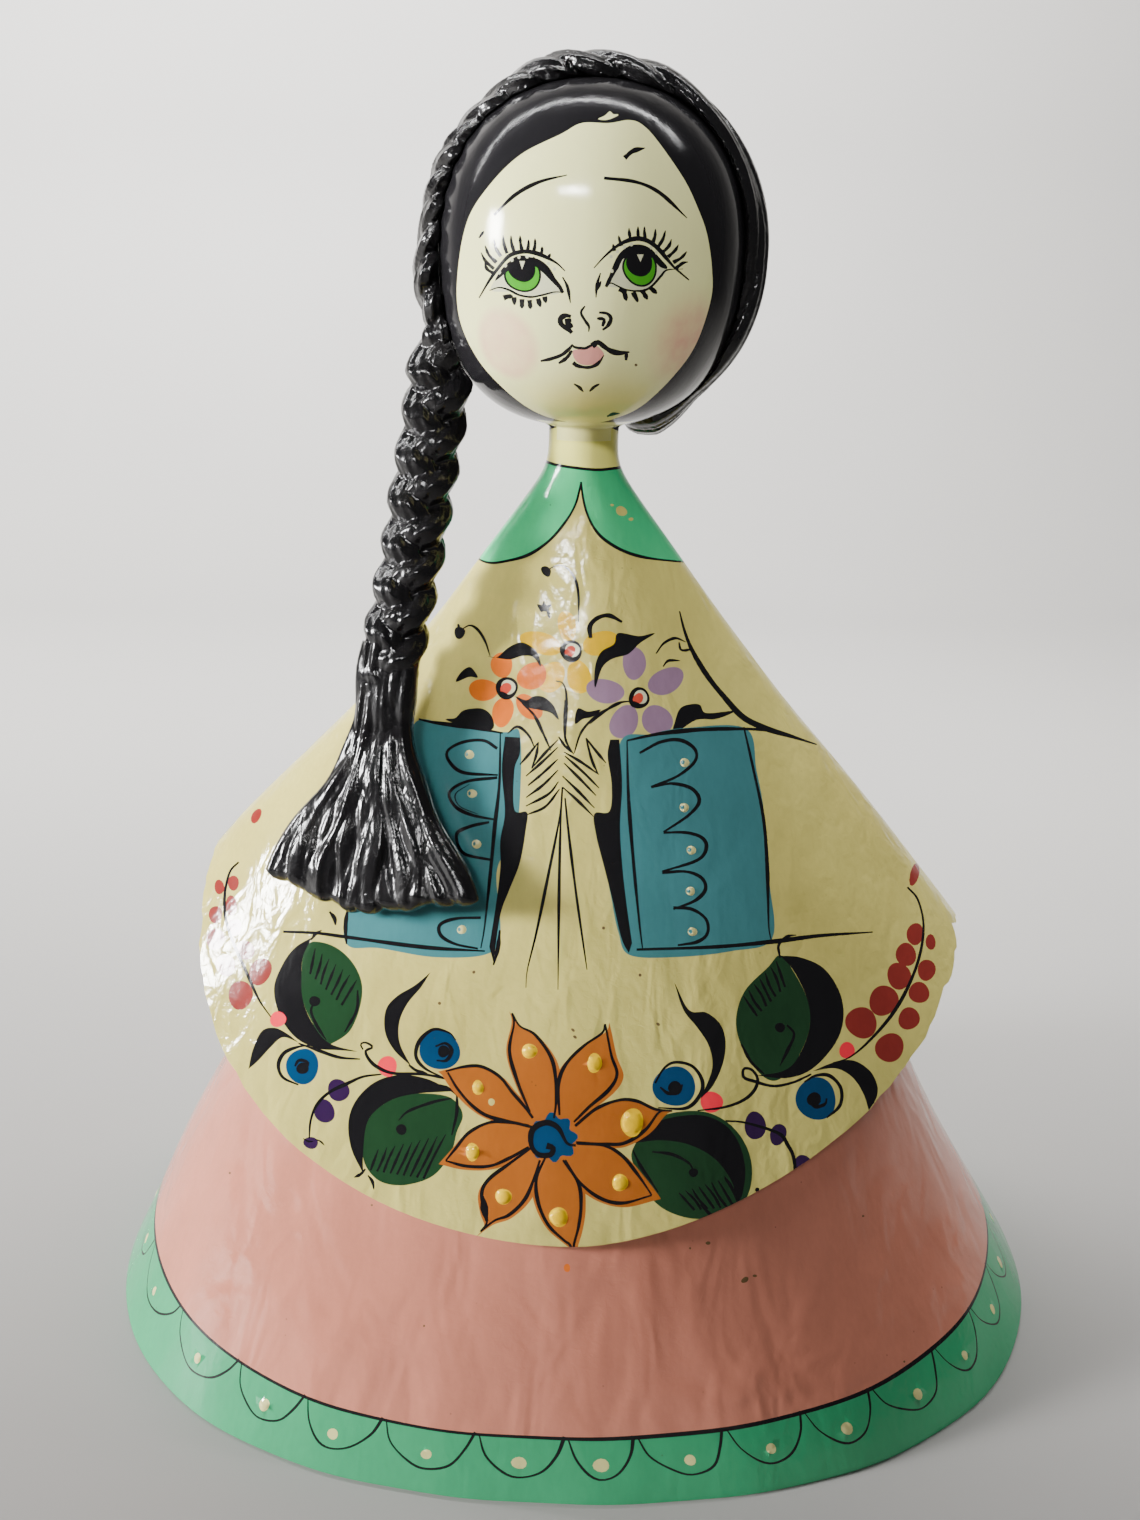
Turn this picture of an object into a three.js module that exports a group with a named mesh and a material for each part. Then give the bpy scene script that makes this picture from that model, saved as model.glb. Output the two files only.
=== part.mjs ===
// A papier-mache lady: a card skirt, a cape in one papered form with the neck and head,
// a roll of hair round the head and a braid that hangs from it onto the cape.
// Millimetres, +Z up, the front faces -Y, +X is the viewer's right.
// The origin is the middle of the underside.
import * as THREE from "three";

const TURN = 2 * Math.PI;

// Skirt: an oval cone of card
const SKIRT_HALF_WIDTH = 149.5;
const SKIRT_HALF_DEPTH = 105.4;
const SKIRT_LEAN = -3.2;
const SKIRT_LEAN_HEIGHT = 50;
const SKIRT_LEAN_RETURN = 70;
const HEM_EDGE_ROUND = 1.2;
const SKIRT_SQUARENESS = 2.25;
const SKIRT_TOP_SQUARENESS = 1.95;

// Cape: a flattened cone of card, lens-shaped in plan, that touches the skirt in front and behind
const CARD = 1.8;
const GAP = 0.35;
const SEAT_GAP = 0.6;
const CAPE_SHOULDER_SLOPE = 0.752;
const CAPE_RIGHT_FLARE = 0.05;
const CAPE_LEFT_FLARE = 0.115;
const FLARE_TOP = 225;
const FLARE_BOTTOM = 150;
const CAPE_SQUARENESS = 1.7;
const CAPE_AXIS = -1.2;
const CAPE_LEAN = -0.5;
const RIM_FRONT_HEIGHT = 66.5;
const RIM_RIGHT_RISE = 59.5;
const RIM_LEFT_RISE = 79.5;
const RIM_RIGHT_CURVE = 1.8;
const RIM_LEFT_CURVE = 2.45;

// Neck and head: an egg with its fuller end down
const NECK_RADIUS = 9.5;
const NECK_HEIGHT = 259.5;
const ROUND_SHOULDER_DROP = 24.5;
const HEAD_RADIUS = 39.6;
const CHIN_ABOVE_NECK = 11;
const HEAD_RISE = 40;
const HEAD_DROP = 43.5;
const CROWN_SQUARENESS = 2.2;
const JAW_SQUARENESS = 2.5;
const HEAD_AXIS = -0.4;
const FILLET_SHARPNESS = 6;
const CHIN_HEIGHT = NECK_HEIGHT + CHIN_ABOVE_NECK;
const HEAD_MIDDLE_HEIGHT = CHIN_HEIGHT + HEAD_DROP;

// Where the cones of the cape and the skirt would end, above the foot of the neck
const CAPE_TIP_RISE = 12.5;
const SKIRT_TIP_RISE = 19.2;
const CAPE_TIP_HEIGHT = NECK_HEIGHT + CAPE_TIP_RISE;
const SKIRT_TIP_HEIGHT = NECK_HEIGHT + SKIRT_TIP_RISE;
// How far below the foot of the neck the cape's lining and the skirt end
const LINING_TOP_DROP = 14;
const SKIRT_TOP_DROP = 18;

// Hair roll: a rope of long strands round the head, from the nape over the crown
const ROLL_SIDE_SHIFT = -0.6;
const ROLL_DROP = 2;
const ROLL_HALF_THICKNESS = 5;
const ROLL_SINK = 2.7;
const ROLL_CROWN_LIFT = 2.3;
const ROLL_HALF_DEPTH = 8;
const ROLL_BACK = 9;
const ROLL_NAPE_BACK = 10;
const NAPE_SWEEP = 1.4;
const NAPE_SWEEP_START = 0.35;
const ROLL_START_ANGLE = -1.32;
const ROLL_END_ANGLE = 3.54;
const ROLL_STRANDS = 3;
const ROLL_FURROW = 1.1;
const ROLL_TWISTS = 1.6;
const ROLL_START_TAPER = 0.06;
const ROLL_END_TAPER = 0.1;
const ROLL_START_SIZE = 0.55;
const ROLL_END_SIZE = 0.8;
const ROLL_MIDDLE_X = HEAD_AXIS + ROLL_SIDE_SHIFT;
const ROLL_MIDDLE_HEIGHT = HEAD_MIDDLE_HEIGHT - ROLL_DROP;
const ROLL_LINE_REACH = HEAD_RADIUS + ROLL_HALF_THICKNESS - ROLL_SINK;

// Braid: three strands plaited, opening into a flat tassel on the cape
const BRAID_HALF_WIDTH = 8.3;
const BRAID_HALF_DEPTH = 6.6;
const BRAID_TOP_SIZE = 0.7;
const BRAID_TOP_TAPER = 0.06;
const BRAID_TOP_TURN = 0.1;
const BRAID_LOW_TURN = 0.34;
const BRAID_TURN_RATE = 1.3;
const PLAIT_PITCH = 11.6;
const PLAIT_RELIEF = 1.7;
const PLAIT_SLANT = 0.55;
const PLAIT_FULLNESS = 0.7;
const PLAIT_FADE_SHIFT = 0.05;
const PLAIT_FADE = 0.1;
const TASSEL_HALF_WIDTH = 29;
const TASSEL_HALF_DEPTH = 4.6;
const TASSEL_START = 0.63;
const TASSEL_EDGE = 0.04;
const TASSEL_EDGE_SIZE = 0.72;
const TASSEL_LOCKS = 7;
const LOCK_RELIEF = 0.12;
const LOCK_SPREAD = 0.2;
const BRAID_TOP_DROP = 23.5;
// Down from the roll's end to the tassel's lower edge, along the middle of the braid:
// sideways, forward and below the braid's top
const BRAID_ROUTE = [
  [-41.8, 1.5, 0],
  [-40.8, -6, 9.5],
  [-42.4, -9, 22.5],
  [-45.2, -12.5, 36.5],
  [-48, -16.5, 51.5],
  [-51, -21, 66.5],
  [-54.6, -24.5, 83.5],
  [-57, -27.5, 99.5],
  [-58.6, -34, 116.5],
  [-60.6, -40.5, 132.5],
  [-61.6, -45.5, 145.5],
].map(([x, y, drop]) => new THREE.Vector3(x, y, HEAD_MIDDLE_HEIGHT - BRAID_TOP_DROP - drop));

// Mesh fineness
const ROUND_STEPS = 60;
const CAPE_ROWS = 11;
const LINING_ROWS = 5;
const NECK_ROWS = 4;
const HEAD_ROWS = 21;
const ROLL_STEPS = 52;
const ROLL_SIDES = 16;
const BRAID_STEPS = 66;
const BRAID_SIDES = 12;
const SKIRT_LOWER_RINGS = [0.3, 0.65];
const SKIRT_UPPER_RINGS = [0.25, 0.53, 0.82];
const SEAT_SEARCH = 30;
const SEAT_HALVINGS = 24;
const SLOPE_ROUNDS = 8;

function smooth(t) {
  const s = Math.min(Math.max(t, 0), 1);
  return s * s * (3 - 2 * s);
}

function mix(a, b, t) {
  return a + (b - a) * t;
}

// Largest of several sizes, with a soft change from one to the next
function softMax(...sizes) {
  const total = sizes.reduce((sum, size) => sum + Math.max(size, 0) ** FILLET_SHARPNESS, 0);
  return total ** (1 / FILLET_SHARPNESS);
}

function signedPower(value, power) {
  return Math.sign(value) * Math.abs(value) ** power;
}

// A point of an oval whose corners are fuller above squareness 2 and more pointed below it
function ovalPoint(oval, angle, z) {
  const power = 2 / oval.squareness;
  const side = Math.cos(angle) > 0 ? oval.right : oval.left;
  return new THREE.Vector3(
    oval.x + side * signedPower(Math.cos(angle), power),
    oval.depth * signedPower(Math.sin(angle), power),
    z,
  );
}

// Under 1 inside the oval, 1 on it, more outside
function ovalReach(oval, point) {
  const across = point.x - oval.x;
  const side = across > 0 ? oval.right : oval.left;
  const power = oval.squareness;
  return (Math.abs(across / side) ** power + Math.abs(point.y / oval.depth) ** power) ** (1 / power);
}

function eggRadius(z) {
  const up = z > HEAD_MIDDLE_HEIGHT;
  const share = Math.abs(z - HEAD_MIDDLE_HEIGHT) / (up ? HEAD_RISE : HEAD_DROP);
  if (share >= 1) return 0;
  const power = up ? CROWN_SQUARENESS : JAW_SQUARENESS;
  return HEAD_RADIUS * (1 - share ** power) ** (1 / power);
}

function figureAxis(z) {
  const body = CAPE_AXIS + (CAPE_LEAN * z) / NECK_HEIGHT;
  return mix(body, HEAD_AXIS, smooth((z - NECK_HEIGHT) / (HEAD_MIDDLE_HEIGHT - NECK_HEIGHT)));
}

function sideSlope(z, flare) {
  return CAPE_SHOULDER_SLOPE + flare * smooth((FLARE_TOP - z) / (FLARE_TOP - FLARE_BOTTOM));
}

function skirtShare(z) {
  return 1 - z / SKIRT_TIP_HEIGHT;
}

// The slope that lays the cape's lining on the skirt at the rim's lowest place
function slopeOnSkirt() {
  const skirtDepth = SKIRT_HALF_DEPTH * skirtShare(RIM_FRONT_HEIGHT);
  let slope = skirtDepth / (CAPE_TIP_HEIGHT - RIM_FRONT_HEIGHT);
  for (let round = 0; round < SLOPE_ROUNDS; round++) {
    const wall = (CARD + 2 * GAP) * Math.hypot(1, slope);
    slope = (skirtDepth + wall) / (CAPE_TIP_HEIGHT - RIM_FRONT_HEIGHT);
  }
  return slope;
}

const CAPE_FRONT_SLOPE = slopeOnSkirt();

// The oval of the cape, neck and head at a height
function figureOval(z) {
  const below = Math.max(CAPE_TIP_HEIGHT - z, 0);
  const egg = eggRadius(z);
  const neck = z < HEAD_MIDDLE_HEIGHT ? NECK_RADIUS : 0;
  return {
    x: figureAxis(z),
    right: softMax(below * sideSlope(z, CAPE_RIGHT_FLARE), neck, egg),
    left: softMax(below * sideSlope(z, CAPE_LEFT_FLARE), neck, egg),
    depth: softMax(below * CAPE_FRONT_SLOPE, neck, egg),
    squareness: mix(CAPE_SQUARENESS, 2, smooth((z - NECK_HEIGHT) / ROUND_SHOULDER_DROP + 1)),
  };
}

function grownOval(oval, sides, depth) {
  return {
    ...oval,
    right: oval.right + sides,
    left: oval.left + sides,
    depth: oval.depth + depth,
  };
}

// The same oval, further out by a distance square to the cape's surface
function offsetFigureOval(z, distance) {
  const sides = distance * Math.hypot(1, sideSlope(z, CAPE_LEFT_FLARE));
  return grownOval(figureOval(z), sides, distance * Math.hypot(1, CAPE_FRONT_SLOPE));
}

function skirtOval(z) {
  const share = skirtShare(z);
  const lining = offsetFigureOval(z, -CARD - 2 * GAP);
  const hidden = smooth((z - SKIRT_LEAN_HEIGHT) / SKIRT_LEAN_RETURN);
  const lean = SKIRT_LEAN * smooth(z / SKIRT_LEAN_HEIGHT);
  return {
    x: mix(lean, figureAxis(z), hidden),
    right: SKIRT_HALF_WIDTH * share,
    left: SKIRT_HALF_WIDTH * share,
    depth: Math.min(SKIRT_HALF_DEPTH * share, lining.depth),
    squareness: mix(SKIRT_SQUARENESS, SKIRT_TOP_SQUARENESS, smooth(z / RIM_FRONT_HEIGHT)),
  };
}

function rimHeight(angle) {
  const across = Math.cos(angle);
  const rise = across > 0 ? RIM_RIGHT_RISE : RIM_LEFT_RISE;
  const curve = across > 0 ? RIM_RIGHT_CURVE : RIM_LEFT_CURVE;
  return RIM_FRONT_HEIGHT + rise * Math.abs(across) ** curve;
}

function ring(count, pointAt) {
  return Array.from({ length: count }, (_, step) => pointAt((step / count) * TURN));
}

// One closed body from a row of rings, with a point at each end
function closedLoft(first, rings, last) {
  const sides = rings[0].length;
  const points = [first, ...rings.flat(), last];
  const faces = [];
  const at = (row, side) => 1 + row * sides + (side % sides);
  for (let side = 0; side < sides; side++) {
    faces.push(0, at(0, side + 1), at(0, side));
    for (let row = 0; row < rings.length - 1; row++) {
      faces.push(at(row, side), at(row, side + 1), at(row + 1, side + 1));
      faces.push(at(row, side), at(row + 1, side + 1), at(row + 1, side));
    }
    faces.push(points.length - 1, at(rings.length - 1, side), at(rings.length - 1, side + 1));
  }
  const geometry = new THREE.BufferGeometry();
  geometry.setAttribute("position", new THREE.Float32BufferAttribute(points.flatMap((p) => p.toArray()), 3));
  geometry.setIndex(faces);
  geometry.computeVertexNormals();
  return geometry;
}

function middleOf(points) {
  return points.reduce((sum, p) => sum.add(p), new THREE.Vector3()).divideScalar(points.length);
}

function skirtGeometry() {
  const foot = grownOval(skirtOval(0), -HEM_EDGE_ROUND, -HEM_EDGE_ROUND);
  const underside = ring(ROUND_STEPS, (angle) => ovalPoint(foot, angle, 0));
  const top = NECK_HEIGHT - SKIRT_TOP_DROP;
  const lower = SKIRT_LOWER_RINGS.map((share) => RIM_FRONT_HEIGHT * share);
  const upper = SKIRT_UPPER_RINGS.map((share) => mix(RIM_FRONT_HEIGHT, top, share));
  const heights = [HEM_EDGE_ROUND, ...lower, RIM_FRONT_HEIGHT, ...upper, top];
  const rings = heights.map((z) => ring(ROUND_STEPS, (angle) => ovalPoint(skirtOval(z), angle, z)));
  return closedLoft(new THREE.Vector3(0, 0, 0), [underside, ...rings], new THREE.Vector3(figureAxis(top), 0, top));
}

// The papered upper form: lining of the cape, its rim, the cape, the neck and the head
function headAndCapeGeometry() {
  const liningTop = NECK_HEIGHT - LINING_TOP_DROP;
  const lining = (angle, share) => {
    const z = mix(liningTop, rimHeight(angle), share);
    return ovalPoint(offsetFigureOval(z, -CARD), angle, z);
  };
  const outside = (angle, share) => {
    const z = mix(rimHeight(angle), NECK_HEIGHT, share);
    return ovalPoint(figureOval(z), angle, z);
  };
  const level = (z) => ring(ROUND_STEPS, (angle) => ovalPoint(figureOval(z), angle, z));
  const rings = [];
  for (let row = 0; row <= LINING_ROWS; row++) {
    rings.push(ring(ROUND_STEPS, (angle) => lining(angle, row / LINING_ROWS)));
  }
  for (let row = 0; row <= CAPE_ROWS; row++) {
    rings.push(ring(ROUND_STEPS, (angle) => outside(angle, row / CAPE_ROWS)));
  }
  for (let row = 1; row < NECK_ROWS; row++) {
    rings.push(level(mix(NECK_HEIGHT, CHIN_HEIGHT, row / NECK_ROWS)));
  }
  const crown = HEAD_MIDDLE_HEIGHT + HEAD_RISE;
  for (let row = 0; row < HEAD_ROWS; row++) {
    const share = (1 - Math.cos((Math.PI * row) / HEAD_ROWS)) / 2;
    rings.push(level(mix(CHIN_HEIGHT, crown, share)));
  }
  const cavityTop = new THREE.Vector3(figureAxis(liningTop), 0, liningTop);
  return closedLoft(cavityTop, rings, new THREE.Vector3(HEAD_AXIS, 0, crown));
}

// Level, square out from the oval at a point beside it
function outwardAt(oval, point) {
  const across = point.x - oval.x;
  const side = across > 0 ? oval.right : oval.left;
  const power = oval.squareness - 1;
  const x = signedPower(across / side, power) / side;
  const y = signedPower(point.y / oval.depth, power) / oval.depth;
  return new THREE.Vector3(x, y, 0).normalize();
}

// Moves a point that would sink into the cape, neck or head along a direction, to rest on it
function seated(point, outward) {
  const sunk = (p) => ovalReach(offsetFigureOval(p.z, SEAT_GAP), p) < 1;
  if (!sunk(point)) return point;
  let near = 0;
  let far = SEAT_SEARCH;
  for (let halving = 0; halving < SEAT_HALVINGS; halving++) {
    const middle = (near + far) / 2;
    if (sunk(point.clone().addScaledVector(outward, middle))) near = middle;
    else far = middle;
  }
  return point.clone().addScaledVector(outward, far);
}

function rollCentre(angle) {
  const lift = ROLL_CROWN_LIFT * Math.max(Math.sin(angle), 0);
  const reach = ROLL_LINE_REACH + lift;
  const low = smooth(-Math.sin(angle) * NAPE_SWEEP - NAPE_SWEEP_START);
  return new THREE.Vector3(
    ROLL_MIDDLE_X + reach * Math.cos(angle),
    ROLL_BACK + ROLL_NAPE_BACK * low,
    ROLL_MIDDLE_HEIGHT + reach * Math.sin(angle),
  );
}

function rollGeometry() {
  const rings = [];
  for (let step = 0; step <= ROLL_STEPS; step++) {
    const share = step / ROLL_STEPS;
    const angle = mix(ROLL_START_ANGLE, ROLL_END_ANGLE, share);
    const centre = rollCentre(angle);
    const outward = new THREE.Vector3(Math.cos(angle), 0, Math.sin(angle));
    const starting = mix(ROLL_START_SIZE, 1, smooth(share / ROLL_START_TAPER));
    const size = Math.min(starting, mix(ROLL_END_SIZE, 1, smooth((1 - share) / ROLL_END_TAPER)));
    rings.push(
      ring(ROLL_SIDES, (turn) => {
        const furrow = ROLL_FURROW * Math.abs(Math.sin((ROLL_STRANDS / 2) * (turn + ROLL_TWISTS * TURN * share)));
        const thick = (ROLL_HALF_THICKNESS - ROLL_FURROW + furrow) * size;
        const deep = (ROLL_HALF_DEPTH - ROLL_FURROW + furrow) * size;
        const point = centre.clone().addScaledVector(outward, thick * Math.cos(turn));
        point.y += deep * Math.sin(turn);
        return seated(point, outward);
      }),
    );
  }
  return closedLoft(middleOf(rings[0]), rings, middleOf(rings[ROLL_STEPS]));
}

// Sideways, out from the cape and along the braid at a share of its length
function braidFrame(route, share) {
  const along = route.getTangentAt(share);
  const turned = mix(BRAID_TOP_TURN, BRAID_LOW_TURN, smooth(share * BRAID_TURN_RATE));
  const out = new THREE.Vector3(-Math.sin(turned), -Math.cos(turned), 0);
  const across = new THREE.Vector3().crossVectors(out, along).normalize();
  return { across, out: new THREE.Vector3().crossVectors(along, across).normalize() };
}

// How far a plaited strand stands out, for a place round the braid and along it
function plaitSwell(turn, length) {
  const across = Math.cos(turn);
  const offset = across > 0 ? 0 : 0.5;
  const phase = length / PLAIT_PITCH + offset + PLAIT_SLANT * Math.abs(across);
  return Math.abs(Math.sin(Math.PI * phase)) ** PLAIT_FULLNESS - 1;
}

function braidGeometry() {
  const route = new THREE.CatmullRomCurve3(BRAID_ROUTE);
  const total = route.getLength();
  const rings = [];
  for (let step = 0; step <= BRAID_STEPS; step++) {
    const share = step / BRAID_STEPS;
    const centre = route.getPointAt(share);
    const { across, out } = braidFrame(route, share);
    const open = smooth((share - TASSEL_START) / (1 - TASSEL_START));
    const tip = mix(TASSEL_EDGE_SIZE, 1, smooth((1 - share) / TASSEL_EDGE));
    const top = mix(BRAID_TOP_SIZE, 1, smooth(share / BRAID_TOP_TAPER));
    const plaited = 1 - smooth((share - TASSEL_START + PLAIT_FADE_SHIFT) / PLAIT_FADE);
    const halfWidth = mix(BRAID_HALF_WIDTH, TASSEL_HALF_WIDTH, open) * top;
    const halfDepth = mix(BRAID_HALF_DEPTH, TASSEL_HALF_DEPTH, open) * tip * top;
    rings.push(
      ring(BRAID_SIDES, (turn) => {
        const plait = PLAIT_RELIEF * plaitSwell(turn, share * total) * plaited;
        const lock = LOCK_RELIEF * open * Math.cos(TASSEL_LOCKS * turn);
        const point = centre.clone();
        point.addScaledVector(across, (halfWidth + plait) * Math.cos(turn) * (1 + lock * LOCK_SPREAD));
        point.addScaledVector(out, (halfDepth + plait) * Math.sin(turn) * (1 + lock));
        return seated(point, outwardAt(figureOval(point.z), point));
      }),
    );
  }
  return closedLoft(middleOf(rings[0]), rings, middleOf(rings[BRAID_STEPS]));
}

function lacquered(color, roughness) {
  return new THREE.MeshStandardMaterial({ color, roughness, metalness: 0 });
}

function named(name, geometry, material) {
  const mesh = new THREE.Mesh(geometry, material);
  mesh.name = name;
  return mesh;
}

const group = new THREE.Group();
group.add(
  named("skirt", skirtGeometry(), lacquered(0xcf938a, 0.32)),
  named("head_and_cape", headAndCapeGeometry(), lacquered(0xd8cb98, 0.25)),
  named("hair_roll", rollGeometry(), lacquered(0x16161a, 0.2)),
  named("braid", braidGeometry(), lacquered(0x16161a, 0.2)),
);

export default group;
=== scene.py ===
"""A painted papier-mache lady, dressed around her packed form.

The figure is a card skirt, a papered cape in one form with the neck and head, a roll of
lacquered hair and a braid. Forms are worked out in millimetres in the part's own frame
(+Z up, the front faces -Y) and become metres when a mesh is made. Brush marks are placed
where the photograph shows them, in its 1140 by 1520 frame, and cut into the surface that
carries them, so each colour is a material of its own with a crisp edge.
"""
import logging
import math
from collections.abc import Callable
from dataclasses import dataclass, field
from enum import Enum
from functools import cached_property

import bpy
import numpy as np
from mathutils import Matrix, Vector
from mathutils.geometry import delaunay_2d_cdt


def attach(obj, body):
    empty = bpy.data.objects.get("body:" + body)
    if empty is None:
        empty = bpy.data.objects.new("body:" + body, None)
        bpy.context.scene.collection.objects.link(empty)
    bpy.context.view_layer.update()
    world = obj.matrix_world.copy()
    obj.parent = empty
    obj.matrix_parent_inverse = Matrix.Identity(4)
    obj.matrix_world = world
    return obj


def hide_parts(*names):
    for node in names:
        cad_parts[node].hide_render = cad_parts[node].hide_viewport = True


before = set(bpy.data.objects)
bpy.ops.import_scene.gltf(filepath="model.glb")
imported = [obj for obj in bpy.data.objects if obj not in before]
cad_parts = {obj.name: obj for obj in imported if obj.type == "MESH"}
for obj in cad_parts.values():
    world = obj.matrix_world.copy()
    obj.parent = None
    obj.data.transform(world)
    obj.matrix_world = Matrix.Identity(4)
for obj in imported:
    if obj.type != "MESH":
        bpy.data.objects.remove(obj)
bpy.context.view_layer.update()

MM = 0.001
LOG = logging.getLogger("papier_mache_lady")
Array = np.ndarray
Point = tuple[float, float]
Line = tuple[Point, ...]
Lines = tuple[Line, ...]
Triple = tuple[float, float, float]
Colour = tuple[int, int, int]
Spot = tuple[float, ...]
CAPE_SCALE = 3.75  # the photograph's pixels to a millimetre on the cape
SEAM = 1e-3  # how near two edges of an opened-out sheet count as one


def smooth(t: Array) -> Array:
    """Soft step from 0 to 1."""
    s = np.clip(t, 0, 1)
    return s * s * (3 - 2 * s)


def mix(a: Array, b: Array, t: Array) -> Array:
    """Value between a and b at share t."""
    return a + (b - a) * t


def full_turn(count: int) -> Array:
    """Even angles once round."""
    return np.linspace(0, 2 * math.pi, count, endpoint=False)


def halved(
    low: Array, high: Array, beyond: Callable[[Array], Array], rounds: int = 16
) -> tuple[Array, Array]:
    """Closes in on the places where a test changes, by halving.

    Args:
        low: Values that fail the test.
        high: Values that pass it.
        beyond: The test.
        rounds: How often the way between them is halved.

    Returns:
        Both values, next to each other.
    """
    for _ in range(rounds):
        middle = (low + high) / 2
        passed = beyond(middle)
        high = np.where(passed, middle, high)
        low = np.where(passed, low, middle)
    return low, high


def linked(name: str, data: bpy.types.ID) -> bpy.types.Object:
    """Makes an object from its data and puts it in the scene.

    Args:
        name: The object's name.
        data: Its mesh, lamp or camera.

    Returns:
        The object.
    """
    made = bpy.data.objects.new(name, data)
    bpy.context.scene.collection.objects.link(made)
    return made


def soft_max(*sizes: Array, sharpness: float = 6.0) -> Array:
    """Largest of several sizes, with a soft change from one to the next."""
    return sum(np.maximum(size, 0) ** sharpness for size in sizes) ** (1 / sharpness)


def curve(points: Line | tuple[Triple, ...] | Array, step: float = 2.4, closed: bool = False) -> Array:
    """Smooth line through a few points.

    Args:
        points: Places the line runs through, flat or in space.
        step: Spacing of the result, in the unit of the points.
        closed: True for an outline that returns to its start.

    Returns:
        Evenly spaced places along the line.
    """
    p = np.array(points, float)
    ends = (p[-1:], p[:1], p[1:2]) if closed else (2 * p[:1] - p[1:2], 2 * p[-1:] - p[-2:-1])
    q = np.vstack([ends[0], p, *ends[1:]])
    t = np.linspace(0, 1, 12, endpoint=False)[:, None]
    runs = []
    for a, b, c, d in zip(q[:-3], q[1:-2], q[2:-1], q[3:]):
        square, cube = 2 * a - 5 * b + 4 * c - d, 3 * b - a - 3 * c + d
        runs.append(0.5 * (2 * b + (c - a) * t + square * t**2 + cube * t**3))
    fine = np.vstack([*runs, q[-2:-1]])
    along = np.concatenate([[0], np.cumsum(np.linalg.norm(np.diff(fine, axis=0), axis=1))])
    count = max(int(round(along[-1] / step)), 3)
    marks = np.linspace(0, along[-1], count + 1)
    line = np.stack([np.interp(marks, along, fine[:, k]) for k in range(fine.shape[1])], 1)
    return line[:-1] if closed else line


class Val:
    """A value that varies over a surface, held as a socket, with arithmetic."""

    def __init__(self, shader: "Shader", socket: bpy.types.NodeSocket) -> None:
        """Keeps the socket and the shader it belongs to."""
        self.shader = shader
        self.socket = socket

    def _math(self, operation: str, *values: object) -> "Val":
        """Adds a Math node on some values."""
        return self.shader.node("ShaderNodeMath", {"operation": operation}, dict(enumerate(values)))

    def __add__(self, other: object) -> "Val":
        """Sum."""
        return self._math("ADD", self, other)

    def __sub__(self, other: object) -> "Val":
        """Difference."""
        return self._math("SUBTRACT", self, other)

    def __rsub__(self, other: object) -> "Val":
        """Difference from a number."""
        return self._math("SUBTRACT", other, self)

    def __mul__(self, other: object) -> "Val":
        """Product."""
        return self._math("MULTIPLY", self, other)

    __radd__ = __add__
    __rmul__ = __mul__

    def band(self, low: float, high: float) -> "Val":
        """Soft step from 0 at low to 1 at high.

        Args:
            low: The value at 0.
            high: The value at 1.

        Returns:
            The step.
        """
        settings = {"interpolation_type": "SMOOTHSTEP", "clamp": True}
        inputs = {"Value": self, "From Min": low, "From Max": high}
        return self.shader.node("ShaderNodeMapRange", settings, inputs)


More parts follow.
